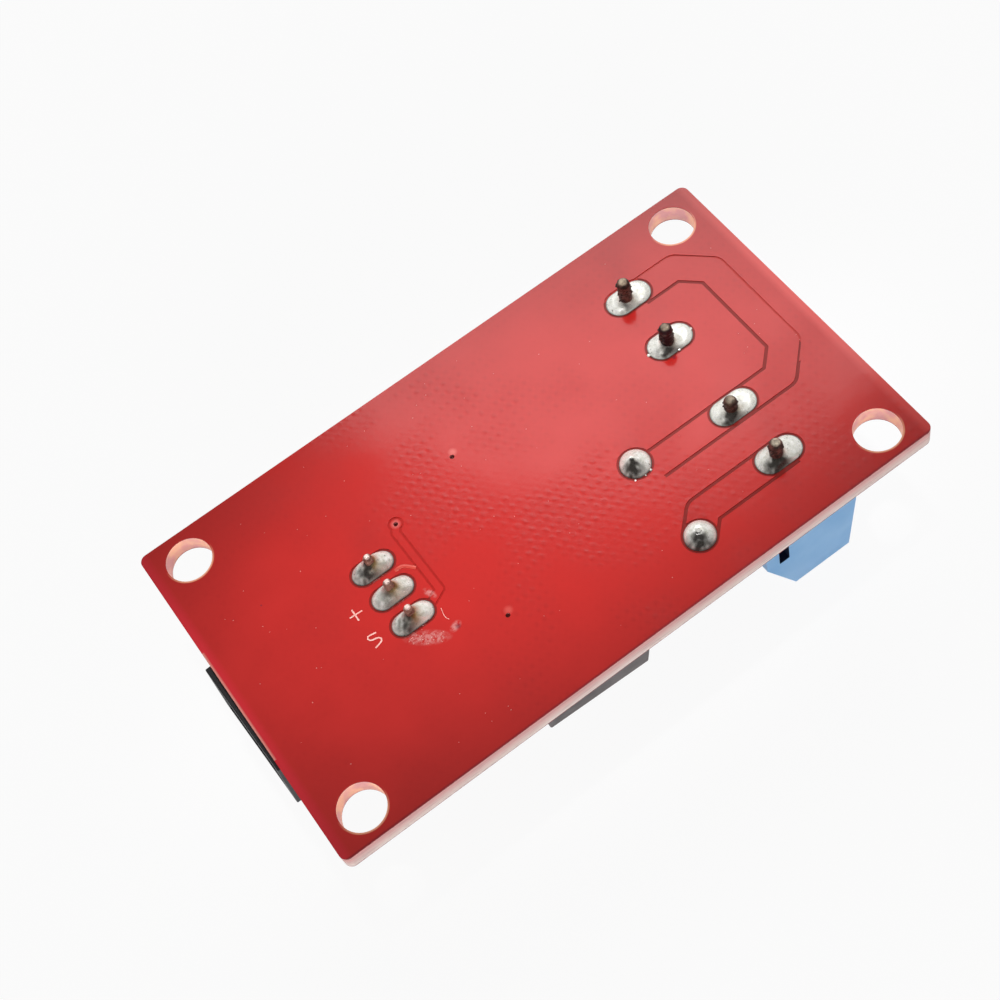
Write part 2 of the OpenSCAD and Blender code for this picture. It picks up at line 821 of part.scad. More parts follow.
circuit_board();
terminal_housing(0);  // terminal_housing_1
terminal_housing(1);  // terminal_housing_2
contact(0);  // contact_1
contact(1);  // contact_2
contact(2);  // contact_3
contact(3);  // contact_4
clamp_cage(0);  // clamp_cage_1
clamp_cage(1);  // clamp_cage_2
clamp_cage(2);  // clamp_cage_3
clamp_cage(3);  // clamp_cage_4
clamp_screw(0);  // clamp_screw_1
clamp_screw(1);  // clamp_screw_2
clamp_screw(2);  // clamp_screw_3
clamp_screw(3);  // clamp_screw_4
connector_housing();
connector_pin(0);  // connector_pin_1
connector_pin(1);  // connector_pin_2
connector_pin(2);  // connector_pin_3
transistor_body();
transistor_tab();
transistor_lead(1);  // transistor_gate_lead
transistor_lead(-1);  // transistor_source_lead
diode_body();
diode_lead(0);  // diode_lead_1
diode_lead(1);  // diode_lead_2
optocoupler_body();
optocoupler_lead(0, -1);  // optocoupler_lead_1
optocoupler_lead(0, 1);  // optocoupler_lead_2
optocoupler_lead(1, -1);  // optocoupler_lead_3
optocoupler_lead(1, 1);  // optocoupler_lead_4
resistor(0);  // resistor_1
resistor(1);  // resistor_2
resistor(2);  // resistor_3
lamp_base();
lamp_lens();
terminal_solder(0);  // terminal_solder_1
terminal_solder(1);  // terminal_solder_2
terminal_solder(2);  // terminal_solder_3
terminal_solder(3);  // terminal_solder_4
connector_solder(0);  // connector_solder_1
connector_solder(1);  // connector_solder_2
connector_solder(2);  // connector_solder_3
diode_solder(0);  // diode_solder_1
diode_solder(1);  // diode_solder_2
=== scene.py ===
import json
import math

import bmesh
import bpy
from mathutils import Matrix, Vector, noise


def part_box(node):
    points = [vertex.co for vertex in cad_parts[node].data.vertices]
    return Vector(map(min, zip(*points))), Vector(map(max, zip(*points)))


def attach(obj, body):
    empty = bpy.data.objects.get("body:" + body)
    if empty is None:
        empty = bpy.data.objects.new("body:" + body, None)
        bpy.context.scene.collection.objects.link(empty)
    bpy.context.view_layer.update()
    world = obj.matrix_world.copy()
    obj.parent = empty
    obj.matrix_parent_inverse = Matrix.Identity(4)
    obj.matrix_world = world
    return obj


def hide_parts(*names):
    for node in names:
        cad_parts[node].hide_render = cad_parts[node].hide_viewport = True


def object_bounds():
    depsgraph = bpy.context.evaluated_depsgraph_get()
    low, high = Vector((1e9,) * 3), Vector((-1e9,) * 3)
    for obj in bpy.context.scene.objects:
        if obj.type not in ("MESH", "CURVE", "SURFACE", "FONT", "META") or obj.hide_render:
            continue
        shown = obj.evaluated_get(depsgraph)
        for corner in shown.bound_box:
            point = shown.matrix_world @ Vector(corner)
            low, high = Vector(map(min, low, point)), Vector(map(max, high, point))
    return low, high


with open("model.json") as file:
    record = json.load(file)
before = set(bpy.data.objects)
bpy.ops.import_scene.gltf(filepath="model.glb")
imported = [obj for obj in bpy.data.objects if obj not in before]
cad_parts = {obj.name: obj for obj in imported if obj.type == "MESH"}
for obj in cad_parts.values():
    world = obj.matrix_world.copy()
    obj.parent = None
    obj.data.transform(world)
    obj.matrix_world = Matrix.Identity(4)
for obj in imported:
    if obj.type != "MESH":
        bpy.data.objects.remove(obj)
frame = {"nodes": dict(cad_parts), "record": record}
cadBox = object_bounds()
mm = 0.001
body = "module"
nodes = frame["nodes"]
print("frame loaded:", len(nodes), "nodes")


def boxMm(node):  # low and high corner of a CAD node in millimetres
    return [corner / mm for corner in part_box(node)]


def linear(hexColour):  # sRGB hex to a linear colour
    parts = [int(hexColour[i:i + 2], 16) / 255 for i in (1, 3, 5)]
    return [c / 12.92 if c <= 0.04045 else ((c + 0.055) / 1.055) ** 2.4 for c in parts] + [1]


def addNode(tree, kind, settings={}, links={}):  # a key is a socket's name or number, or a node setting
    node = tree.nodes.new(kind)
    for key, value in settings.items():
        if isinstance(key, int) or key in node.inputs:
            node.inputs[key].default_value = value
        else:
            setattr(node, key, value)
    for key, socket in links.items():
        tree.links.new(socket, node.inputs[key])
    return node


def feed(node, values):  # a value is a socket, a hex colour, a number or a vector
    for slot, value in values.items():
        if isinstance(value, bpy.types.NodeSocket):
            node.id_data.links.new(value, node.inputs[slot])
        else:
            node.inputs[slot].default_value = linear(value) if isinstance(value, str) else value


def onVector(operation, *values, kind="ShaderNodeVectorMath"):  # one vector sum, with all its outputs
    tree = next(value.id_data for value in values if isinstance(value, bpy.types.NodeSocket))
    node = addNode(tree, kind, {"operation": operation})
    feed(node, dict(enumerate(values)))
    return node.outputs


def calc(operation, *values):  # one sum
    return onVector(operation, *values, kind="ShaderNodeMath")[0]


def split(vector):  # X, Y and Z of a vector
    return addNode(vector.id_data, "ShaderNodeSeparateXYZ", {}, {0: vector}).outputs


def ramp(value, start=0, end=1, low=0, high=1):  # one span laid on another, held at its ends
    settings = {1: start, 2: end, 3: low, 4: high}
    return addNode(value.id_data, "ShaderNodeMapRange", settings, {0: value}).outputs[0]


def blend(share, under, over):  # a share of one colour over another
    node = addNode(share.id_data, "ShaderNodeMix", {"data_type": "RGBA"})
    feed(node, {0: share, 6: under, 7: over})  # 6 and 7 are its colour sockets
    return node.outputs[2]


def speckle(place, perMm, detail, roughness=0.5):  # soft noise
    settings = {"Scale": perMm, "Detail": detail, "Roughness": roughness}
    return addNode(place.id_data, "ShaderNodeTexNoise", settings, {"Vector": place}).outputs[0]


def scaled(vector, factor):
    settings = {"operation": "SCALE", "Scale": factor}
    return addNode(vector.id_data, "ShaderNodeVectorMath", settings, {0: vector}).outputs[0]


def inMillimetres(tree):  # object coordinates as millimetres
    return scaled(addNode(tree, "ShaderNodeTexCoord").outputs["Object"], 1 / mm)


def facingUp(tree):  # 1 where the surface looks along +Z
    return split(addNode(tree, "ShaderNodeTexCoord").outputs["Normal"])["Z"]


def newMaterial(name, shaderSettings):
    material = bpy.data.materials.new(name)
    material.use_nodes = True
    tree = material.node_tree
    shader = tree.nodes["Principled BSDF"]
    feed(shader, shaderSettings)
    return material, shader, inMillimetres(tree)


def wire(shader, sockets, height, depthMm):  # joins a finish and its bump to the shader
    bump = addNode(shader.id_data, "ShaderNodeBump", {"Distance": depthMm * mm}, {"Height": height})
    feed(shader, {**sockets, "Normal": bump.outputs[0]})


def link(name, data):
    thing = bpy.data.objects.new(name, data)
    bpy.context.collection.objects.link(thing)
    return thing


def dress(material, *names):  # a CAD node keeps its shape and gets this finish
    for name in names:
        mesh = nodes[name].data
        mesh.materials.clear()
        mesh.materials.append(material)


creaseAngle = math.radians(50)


def newPiece(name, points, faces, material, replaced=()):
    mesh = bpy.data.meshes.new(name)
    mesh.from_pydata(points, [], faces)
    mesh.materials.append(material)
    form = bmesh.new()
    form.from_mesh(mesh)
    bmesh.ops.recalc_face_normals(form, faces=form.faces)
    form.to_mesh(mesh)
    form.free()
    piece = link(name, mesh)
    mesh.shade_smooth()
    mesh.set_sharp_from_angle(angle=creaseAngle)
    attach(piece, body)
    if replaced:
        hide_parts(*replaced)
    return piece


# the camera stands where the photograph was taken
photoView = {"azimuth": -18.543, "elevation": 60.13, "roll": -19.127, "distance": 127.656 * mm,
             "target": (-0.07 * mm, 1.086 * mm, 0), "lens": 64.43, "sensor": 36, "shift": (-0.0181, -0.0141),
             "nearest": 5 * mm}


def placeCamera(view):
    turn, rise, roll = [math.radians(view[key]) for key in ("azimuth", "elevation", "roll")]
    back = Vector((math.sin(turn) * math.cos(rise), -math.cos(turn) * math.cos(rise), math.sin(rise)))
    level = Vector((math.cos(turn), math.sin(turn), 0))
    upright = back.cross(level)
    right = level * math.cos(roll) + upright * math.sin(roll)
    up = upright * math.cos(roll) - level * math.sin(roll)
    data = bpy.data.cameras.new("photoCamera")
    data.lens = view["lens"]
    data.sensor_width = view["sensor"]
    data.shift_x, data.shift_y = view["shift"]
    data.clip_start = view["nearest"]
    camera = link("photoCamera", data)
    camera.matrix_world = Matrix((right, up, back)).transposed().to_4x4()
    camera.location = Vector(view["target"]) + back * view["distance"]
    bpy.context.scene.camera = camera


placeCamera(photoView)
bpy.context.scene.view_settings.view_transform = "Standard"
print("camera placed")

# pale floor, a round soft box behind, a low fill in front, a pool of light from overhead
studio = {
    "floorSize": 4, "floorWhite": 0.93, "floorLevel": 1, "paper": "#F7F7F7",
    "surround": 0.25, "backGlow": 0.95, "glowSide": (0.5, 0.85, 0), "glowSpan": (-0.2, 0.6),
    "lowSpan": (0.25, 0.6), "frontShade": 0.05, "frontSpan": (-0.5, 0.05),
    "softBox": {"place": (0.148, 0.266, 0.299), "radius": 0.13, "radiance": 2.2, "mirrored": True},
    "fill": {"place": (-0.16, -0.36, 0.10), "radius": 0.12, "radiance": 6.1, "mirrored": False},
    "overhead": {"place": (0.0022, 0.0015, 0.240), "watts": 1.76, "reach": (0.040, 0.021), "size": 0.006}}


def buildFloor(settings):
    half = settings["floorSize"] / 2
    mesh = bpy.data.meshes.new("floor")
    corners = [(x, y, cadBox[0].z) for x, y in ((-half, -half), (half, -half), (half, half), (-half, half))]
    mesh.from_pydata(corners, [], [(0, 1, 2, 3)])
    floor = link("floor", mesh)
    material = bpy.data.materials.new("paperWhite")  # bright paper with a faint shadow, clear from below
    material.use_nodes = True
    tree = material.node_tree
    tree.nodes.clear()
    path = addNode(tree, "ShaderNodeLightPath").outputs
    seen = calc("MAXIMUM", path["Is Camera Ray"], path["Is Glossy Ray"])
    seen = calc("MAXIMUM", seen, path["Is Transmission Ray"])
    share = calc("MULTIPLY", seen, settings["floorWhite"])
    paper = addNode(tree, "ShaderNodeBsdfDiffuse", {"Color": linear(settings["paper"])})
    white = addNode(tree, "ShaderNodeEmission", {"Color": (1, 1, 1, 1), "Strength": settings["floorLevel"]})
    top = addNode(tree, "ShaderNodeMixShader", {}, {0: share, 1: paper.outputs[0], 2: white.outputs[0]})
    clear = addNode(tree, "ShaderNodeBsdfTransparent")
    below = addNode(tree, "ShaderNodeNewGeometry").outputs["Backfacing"]
    both = addNode(tree, "ShaderNodeMixShader", {}, {0: below, 1: top.outputs[0], 2: clear.outputs[0]})
    addNode(tree, "ShaderNodeOutputMaterial", {}, {"Surface": both.outputs[0]})
    mesh.materials.append(material)


def addLamp(name, kind, place, **settings):
    data = bpy.data.lights.new(name, kind)
    for key, value in settings.items():
        setattr(data, key, value)
    lamp = link(name, data)
    lamp.location = place
    return lamp


def buildSurround(settings):  # grey overhead, pale low down behind the board, dark towards the front
    world = bpy.data.worlds.new("surround")
    bpy.context.scene.world = world
    world.use_nodes = True
    tree = world.node_tree
    way = addNode(tree, "ShaderNodeTexCoord").outputs["Generated"]
    parts = split(way)
    low = ramp(parts["Z"], *settings["lowSpan"], 1, 0)
    behind = onVector("DOT_PRODUCT", way, settings["glowSide"])["Value"]
    glow = calc("MULTIPLY", low, ramp(behind, *settings["glowSpan"]))
    level = ramp(glow, 0, 1, settings["surround"], settings["backGlow"])
    front = ramp(parts["Y"], *settings["frontSpan"], settings["frontShade"], 1)
    level = calc("MULTIPLY", level, front)
    feed(tree.nodes["Background"], {"Strength": level, "Color": (1, 1, 1, 1)})


buildFloor(studio)
for lampName in ("softBox", "fill"):
    lampSet = studio[lampName]
    power = lampSet["radiance"] * math.pi * math.pi * lampSet["radius"] ** 2
    width = 2 * lampSet["radius"]
    softLamp = addLamp(lampName, "AREA", lampSet["place"], shape="DISK", size=width, energy=power)
    softLamp.visible_glossy = lampSet["mirrored"]  # the fill lights the sides and is not seen in the solder
    softLamp.rotation_mode = "QUATERNION"
    softLamp.rotation_quaternion = Vector(lampSet["place"]).to_track_quat("Z", "Y")
lampSet = studio["overhead"]
coneHalf = math.atan(lampSet["reach"][1] / lampSet["place"][2])
poolLamp = addLamp("overhead", "SPOT", lampSet["place"], energy=lampSet["watts"], spot_size=2 * coneHalf,
                   spot_blend=1, shadow_soft_size=lampSet["size"])
poolLamp.scale.x = lampSet["reach"][0] / lampSet["reach"][1]
buildSurround(studio)
print("studio built")

# red lacquer over copper: deep gloss, glass weave showing through, dark gaps, pale layered edges, painted
# glow, highlights and shade at the holes and vias
boardLow, boardHigh = boxMm("circuit_board")
holePattern = frame["record"]["mounts"][0]["dims"]
holeX, holeY = holePattern["spacing_x_mm"] / 2, holePattern["spacing_y_mm"] / 2
boardLook = {
    "lacquer": "#CE2D29", "lacquerDeep": "#C22622", "lacquerDark": "#9E1C1A",
    "gap": "#8C2B27", "thinGap": "#BC3832", "signalGap": "#B02824", "viaDark": "#4A1512",
    "terminalEnd": "#DC4A45", "connectorEnd": "#D62B36", "arris": "#8C1F28", "paleEnd": "#E29A8C",
    "holeRing": "#FFB08C", "holeWall": "#FFC6A8", "holeShade": "#DBA5A4", "smear": "#CF8580",
    "laminate": "#EFB0AC", "laminateLow": "#FFEBE3", "laminateDark": "#C79E9E",
    "skinMm": 0.07, "sideFrom": 0.5,  # the lacquer's skin, and how upright a cut side is
    "gapZ": (-0.29, 0.26), "viaZ": (-0.2, 0.08),  # middle and half height of gaps and vias
    "signalX": (-7.75, 2.2), "loopX": 21.75, "loopBend": 2, "loopOuter": (1.25, 0.35),
    "endRamp": (0.31, 0.837, 0.85, 0), "arrisRamp": (0.084, 0.182, 0.75, 0),
    "paleRamp": (0.06, 0.2, 0.8, 0), "ringMm": (0.078, 0.156), "ringRamp": (-1.3, 0.2, 0.9, 0),
    "boreMm": 0.2, "holeGlow": 0.34, "holePerMm": 0.7, "holeRamp": (0.42, 0.6),
    "blotchMm": 7, "blotchRamp": (0.35, 0.65), "sheen": (0.09, 0.17), "dull": 0.62,
    "specular": 0.5, "gapSpecular": 0.18,
    "layerScale": (0.6, 0.6, 9), "layerRamp": (0.5, 0.7, 0, 0.6), "raisedMm": (0.15, 0.25),
    "weaveMm": (0.66, 0.78), "weaveDepthMm": 0.0025, "weaveTone": 0.34, "single": 0.5,
    "weavePatchMm": 7, "patchRamp": (0.42, 0.58, 0.08, 0.6), "warpMm": 0.34,
    "dashMm": 0.55, "dashRamp": (0.35, 0.65, 0.2, 1.8),
    "leftRamp": (-11, -5, 0.25, 1), "rightRamp": (4, 10, 1, 0.5),  # where the weave fades out
    "peelMm": 1.6, "peelDepthMm": 0.003, "crumbPerMm": 3.2, "crumbRough": 0.7, "crumbRamp": (0.4, 0.6),
    "stainRamp": (0.3, 1, 0.7, 0),
    # dark stains first, then three pale rounds that are painted highlights beside the vias
    "stains": [(-9.61, -5.16, 0.26, "#6E2436"), (-19.7, 5.2, 0.1, "#6E2436"),
               (14.92, 2.3, 0.2, "#6E2436"), (-2.15, 6.5, 0.4, "#E2746C"),
               (-6.2, -6.4, 0.4, "#D95A52"), (-8.65, 4.3, 0.42, "#DE7A74")],
    "smearRamp": (0.45, 1.05, 0.8, 0), "smearDeep": 40,
    "smears": [{"centre": (-11.75, -4.5), "half": (1.75, 0.62), "turn": -36},
               {"centre": (-9.75, -5.05), "half": (0.55, 0.35), "turn": 20},
               {"centre": (-9.75, -1.8), "half": (0.62, 0.3), "turn": -70}]}


def solderMask(look):
    material, shader, place = newMaterial("redSolderMask", {"IOR": 1.5})
    tree = material.node_tree
    spot = split(place)
    mirrored = onVector("ABSOLUTE", place)[0]
    mirrored = onVector("MULTIPLY", mirrored, (1, 1, 0))[0]
    reach = split(mirrored)

    # cut sides, gaps in the copper, vias, and which gaps are paler
    side = calc("LESS_THAN", calc("ABSOLUTE", facingUp(tree)), look["sideFrom"])
    middle = (boardLow.z + boardHigh.z) / 2
    core = calc("COMPARE", spot["Z"], middle, boardHigh.z - middle - look["skinMm"])
    cut = calc("MULTIPLY", side, core)
    sunk = calc("COMPARE", spot["Z"], *look["gapZ"])
    via = calc("COMPARE", spot["Z"], *look["viaZ"])
    signal = calc("MULTIPLY", calc("COMPARE", spot["X"], *look["signalX"]), sunk)
    padLow, padHigh = boxMm("terminal_solder_1")
    pastEnd = calc("SUBTRACT", spot["X"], look["loopX"])
    pastTop = calc("SUBTRACT", spot["Y"], (padLow.y + padHigh.y) / 2)
    pastSlant = calc("ADD", calc("ADD", pastEnd, pastTop), look["loopBend"])
    outer = calc("MAXIMUM", calc("MAXIMUM", pastEnd, pastTop), pastSlant)
    thin = calc("MULTIPLY", calc("COMPARE", outer, *look["loopOuter"]), sunk)

    # how near the two ends, the front arris and the corner holes are
    band = ramp(calc("SUBTRACT", boardHigh.x, reach["X"]), *look["endRamp"])
    arris = ramp(calc("SUBTRACT", spot["Y"], boardLow.y), *look["arrisRamp"])
    atTerminals = calc("GREATER_THAN", spot["X"], 0)
    plugLow, plugHigh = boxMm("connector_housing")
    plugY, plugHalf = (plugLow.y + plugHigh.y) / 2, (plugHigh.y - plugLow.y) / 2
    besidePlug = calc("COMPARE", spot["Y"], plugY, plugHalf)
    paleEnd = ramp(calc("SUBTRACT", spot["X"], boardLow.x), *look["paleRamp"])
    paleEnd = calc("MULTIPLY", paleEnd, besidePlug)
    holeR = holePattern["hole_r_mm"]
    toHole = onVector("DISTANCE", mirrored, (holeX, holeY, 0))["Value"]
    # painted highlight: a pale ring on one side of each corner hole's rim
    ring = ramp(toHole, *[holeR + width for width in look["ringMm"]], 1, 0)
    outward = calc("SUBTRACT", reach["Y"], holeY)
    outward = calc("MULTIPLY", outward, calc("SIGN", spot["Y"]))
    ring = calc("MULTIPLY", ring, ramp(outward, *look["ringRamp"]))
    bore = calc("LESS_THAN", toHole, holeR + look["boreMm"])

    # glass weave: two sets of uneven threads, broken into dashes, stronger in some patches than in others
    warp = addNode(tree, "ShaderNodeTexNoise", {"Scale": 1 / look["peelMm"], "Detail": 2}, {"Vector": place})
    warp = scaled(warp.outputs["Color"], look["warpMm"])
    warped = split(onVector("ADD", place, warp)[0])
    waves = []
    for axis, pitch in zip("XY", look["weaveMm"]):
        waves.append(calc("SINE", calc("MULTIPLY", warped[axis], 2 * math.pi / pitch)))
    weave = calc("ADD", *waves)
    weave = calc("MULTIPLY_ADD", weave, look["single"], calc("MULTIPLY", *waves))
    patch = ramp(speckle(place, 1 / look["weavePatchMm"], 2), *look["patchRamp"])
    dashes = ramp(speckle(place, 1 / look["dashMm"], 1), *look["dashRamp"])
    fromLeft = ramp(spot["X"], *look["leftRamp"])
    toRight = ramp(spot["X"], *look["rightRamp"])
    for strength in (patch, dashes, fromLeft, toRight):
        weave = calc("MULTIPLY", weave, strength)

    # bare laminate of the edges and hole walls, the cut sides paler towards the bottom
    layers = addNode(tree, "ShaderNodeMapping", {"Scale": look["layerScale"]}, {0: place}).outputs[0]
    layers = ramp(speckle(layers, 1, 5), *look["layerRamp"])
    raised = ramp(spot["Z"], boardLow.z + look["raisedMm"][0], boardHigh.z - look["raisedMm"][1])
    laminate = blend(raised, look["laminateLow"], look["laminate"])
    laminate = blend(layers, laminate, look["laminateDark"])
    shade = ramp(speckle(place, look["holePerMm"], 5), *look["holeRamp"])
    laminate = blend(bore, laminate, blend(shade, look["holeWall"], look["holeShade"]))

    # lacquer with slow blotches, then each zone over it
    blotch = ramp(speckle(place, 1 / look["blotchMm"], 4), *look["blotchRamp"])
    threads = ramp(weave, -1, 1, 0, look["weaveTone"])
    colour = blend(blotch, look["lacquer"], look["lacquerDeep"])
    colour = blend(threads, colour, look["lacquerDark"])
    # bands at both ends where no copper lies under the lacquer, with painted light shining through the thin
    # board, strongest at the terminal end
    colour = blend(band, colour, blend(atTerminals, look["connectorEnd"], look["terminalEnd"]))
    zones = {"arris": arris, "paleEnd": paleEnd, "holeRing": ring, "gap": sunk, "thinGap": thin,
             "signalGap": signal}
    for tone, mask in zones.items():
        colour = blend(mask, colour, look[tone])
    crumbled = ramp(speckle(place, look["crumbPerMm"], 6, look["crumbRough"]), *look["crumbRamp"])
    stained = 0
    for smear in look["smears"]:
        oval = {"vector_type": "TEXTURE", "Location": (*smear["centre"], 0),
                "Rotation": (0, 0, math.radians(smear["turn"])), "Scale": (*smear["half"], look["smearDeep"])}
        spread = addNode(tree, "ShaderNodeMapping", oval, {0: place}).outputs[0]
        spread = ramp(onVector("LENGTH", spread)["Value"], *look["smearRamp"])
        stained = calc("MAXIMUM", stained, calc("MULTIPLY", spread, crumbled))
    colour = blend(stained, colour, look["smear"])
    nearR, farR, full, none = look["stainRamp"]
    for x, y, radius, tone in look["stains"]:
        away = onVector("DISTANCE", place, (x, y, 0))["Value"]
        colour = blend(ramp(away, radius * nearR, radius * farR, full, none), colour, tone)
    # painted shade: the via dimples are painted dark
    colour = blend(via, colour, look["viaDark"])
    colour = blend(cut, colour, laminate)

    # the hole walls get a painted glow standing for daylight soaking through; cut edges and smears are dull;
    # the lacquer follows the threads
    paintedHoleGlow = calc("MULTIPLY", calc("MULTIPLY", cut, bore), look["holeGlow"])
    sheen = ramp(blotch, 0, 1, *look["sheen"])
    worn = calc("MAXIMUM", cut, stained)
    gloss = addNode(tree, "ShaderNodeMix", {"data_type": "FLOAT", 3: look["dull"]}, {0: worn, 2: sheen})
    shine = ramp(sunk, 0, 1, look["specular"], look["gapSpecular"])
    peel = speckle(place, 1 / look["peelMm"], 3)
    height = calc("MULTIPLY_ADD", peel, look["peelDepthMm"] / look["weaveDepthMm"], weave)
    sockets = {"Base Color": colour, "Emission Color": colour, "Emission Strength": paintedHoleGlow,
               "Roughness": gloss.outputs[0], "Specular IOR Level": shine}
    wire(shader, sockets, height, look["weaveDepthMm"])
    return material


dress(solderMask(boardLook), "circuit_board")
print("board lacquered")

mottleRamp = (0.35, 0.65)
cloudRamp = (0.35, 0.68)


# moulded plastics: slow mottle, a fine spark-eroded grain and uneven gloss
def mouldedPlastic(name, finish):
    material, shader, place = newMaterial(name, {"IOR": 1.5, "Transmission Weight": finish.get("clear", 0)})
    mottle = ramp(speckle(place, 1 / finish["mottleMm"], 4), *mottleRamp)
    colour = blend(mottle, finish["colour"], finish["deep"])
    if "band" in finish:  # a printed ring across the piece
        printed = calc("COMPARE", split(place)["Y"], finish["bandAt"], finish["bandMm"] / 2)
        colour = blend(printed, colour, finish["band"])
    gloss = ramp(mottle, 0, 1, *finish["gloss"])
    grain = speckle(place, 1 / finish["grainMm"], 3)
    wire(shader, {"Base Color": colour, "Roughness": gloss}, grain, finish["grainDepthMm"])
    return material


# plated metals: cloudy tone, fine scratches in the gloss
def platedMetal(name, finish):
    material, shader, place = newMaterial(name, {"Metallic": 1})
    tree = material.node_tree
    cloud = ramp(speckle(place, 1 / finish["cloudMm"], 5), *cloudRamp)
    colour = blend(cloud, finish["colour"], finish["tarnish"])
    gloss = ramp(cloud, 0, 1, *finish["gloss"])
    lines = addNode(tree, "ShaderNodeMapping", {"Scale": finish["grain"]}, {0: place}).outputs[0]
    lines = speckle(lines, 1, 3)
    wire(shader, {"Base Color": colour, "Roughness": gloss}, lines, finish["grainDepthMm"])
    return material


finishes = {
    "bluePolyamide": {"colour": "#86BFF0", "deep": "#78B4E8", "mottleMm": 4, "gloss": (0.34, 0.46),
        "grainMm": 0.12, "grainDepthMm": 0.006},  # satin sky-blue moulding
    "slotShade": {"colour": "#1A2440", "deep": "#121A30", "mottleMm": 2, "gloss": (0.5, 0.7),
        "grainMm": 0.12, "grainDepthMm": 0.006},  # the same blue, darkened as painted shade in the joining slots
    "blackNylon": {"colour": "#141318", "deep": "#0E0D11", "mottleMm": 3, "gloss": (0.38, 0.52),
        "grainMm": 0.1, "grainDepthMm": 0.006},  # soft black with a broad highlight
    "transistorEpoxy": {"colour": "#605859", "deep": "#544E4F", "mottleMm": 2, "gloss": (0.5, 0.66),
        "grainMm": 0.08, "grainDepthMm": 0.01},  # matt charcoal, slightly gritty
    "diodeEpoxy": {"colour": "#1C1C1E", "deep": "#151517", "mottleMm": 2, "gloss": (0.36, 0.5),
        "grainMm": 0.09, "grainDepthMm": 0.008, "band": "#C9CAC8", "bandMm": 0.8,
        "bandAt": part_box("diode_body")[0].y / mm + 1},  # smoother black, a silver ring at one end
    "lampWhite": {"colour": "#F1EEE4", "deep": "#E6E1D2", "mottleMm": 0.8, "gloss": (0.4, 0.55),
        "grainMm": 0.08, "grainDepthMm": 0.006},  # chalky white base
    "lensResin": {"colour": "#E9F2DC", "deep": "#DDEACB", "mottleMm": 0.8, "gloss": (0.12, 0.2),
        "grainMm": 0.2, "grainDepthMm": 0.003, "clear": 0.5},  # half-clear resin, a faint green cast
    "optocouplerEpoxy": {"colour": "#262628", "deep": "#1D1D1F", "mottleMm": 2, "gloss": (0.48, 0.62),
        "grainMm": 0.08, "grainDepthMm": 0.01}}  # dull black, slightly gritty
metals = {
    "zincPlate": {"colour": "#C9CCD2", "tarnish": "#A9ACB0", "cloudMm": 1.2, "gloss": (0.24, 0.4),
        "grain": (3, 22, 3), "grainDepthMm": 0.003},  # bluish bright zinc with drawn lines
    "screwSteel": {"colour": "#C4C5C8", "tarnish": "#9C9B98", "cloudMm": 0.9, "gloss": (0.22, 0.38),
        "grain": (9, 9, 9), "grainDepthMm": 0.003},  # greyer steel, evenly fine
    "tinnedLead": {"colour": "#CFCDC8", "tarnish": "#AEABA4", "cloudMm": 0.7, "gloss": (0.2, 0.36),
        "grain": (14, 14, 4), "grainDepthMm": 0.002}}  # warm pale tin
made = {name: mouldedPlastic(name, finish) for name, finish in finishes.items()}
made.update({name: platedMetal(name, finish) for name, finish in metals.items()})

# mouldings whose edges are broken a little, as a tool leaves them
mouldings = {
    "terminal_housing_1": ("terminalHousing1", "bluePolyamide", "terminal_plastic", 0.12),
    "terminal_housing_2": ("terminalHousing2", "bluePolyamide", "terminal_plastic", 0.12),
    "connector_housing": ("connectorHousing", "blackNylon", "connector_plastic", 0.08),
    "transistor_body": ("transistorBody", "transistorEpoxy", "transistor_epoxy", 0.12),
    "optocoupler_body": ("optocouplerBody", "optocouplerEpoxy", "optocoupler_epoxy", 0.12)}
softening = {"mergeMm": 0.0005, "flatAngle": 1, "edgeAngle": 40, "segments": 2}
joiningSlot = {"fromPadMm": 2.2, "widthMm": 0.9, "depthMm": 1.2, "skinMm": 0.04}  # in each housing's end wall


# painted shade: the faces inside each joining slot take the dark blue
def shadeSlot(mesh, low):
    mesh.materials.append(made["slotShade"])
    padX = sum(corner.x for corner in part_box("terminal_solder_1")) / 2
    slotX = padX - joiningSlot["fromPadMm"] * mm
    skin = joiningSlot["skinMm"] * mm
    for face in mesh.polygons:
        deep = skin < face.center.y - low.y < joiningSlot["depthMm"] * mm + skin
        aside = abs(face.center.x - slotX) < joiningSlot["widthMm"] * mm / 2 + skin
        face.material_index = int(deep and aside)


def soften(node, name, finish, slotName, breakMm):  # a merged copy of the solid, with its edges broken
    form = bmesh.new()
    form.from_mesh(nodes[node].data)
    bmesh.ops.remove_doubles(form, verts=form.verts, dist=softening["mergeMm"] * mm)
    flat = math.radians(softening["flatAngle"])
    bmesh.ops.dissolve_limit(form, angle_limit=flat, verts=form.verts, edges=form.edges)
    mesh = bpy.data.meshes.new(name)
    form.to_mesh(mesh)
    form.free()
    mesh.materials.append(made[finish])
    if finish == "bluePolyamide":
        shadeSlot(mesh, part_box(node)[0])
    piece = link(name, mesh)
    edges = piece.modifiers.new("brokenEdges", "BEVEL")
    edges.width = breakMm * mm
    edges.segments = softening["segments"]
    edges.limit_method = "ANGLE"
    edges.angle_limit = math.radians(softening["edgeAngle"])
    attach(piece, body)
    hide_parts(node)


for node, settings in mouldings.items():
    soften(node, *settings)
dress(made["diodeEpoxy"], "diode_body")
dress(made["lampWhite"], "lamp_base")
dress(made["lensResin"], "lamp_lens")
dress(made["tinnedLead"], "transistor_tab", "transistor_gate_lead", "transistor_source_lead", "diode_lead_1",
      "diode_lead_2")
for number in range(1, 5):
    dress(made["zincPlate"], f"clamp_cage_{number}")
    dress(made["screwSteel"], f"clamp_screw_{number}")
    dress(made["tinnedLead"], f"optocoupler_lead_{number}")
print("plastics and metals dressed")

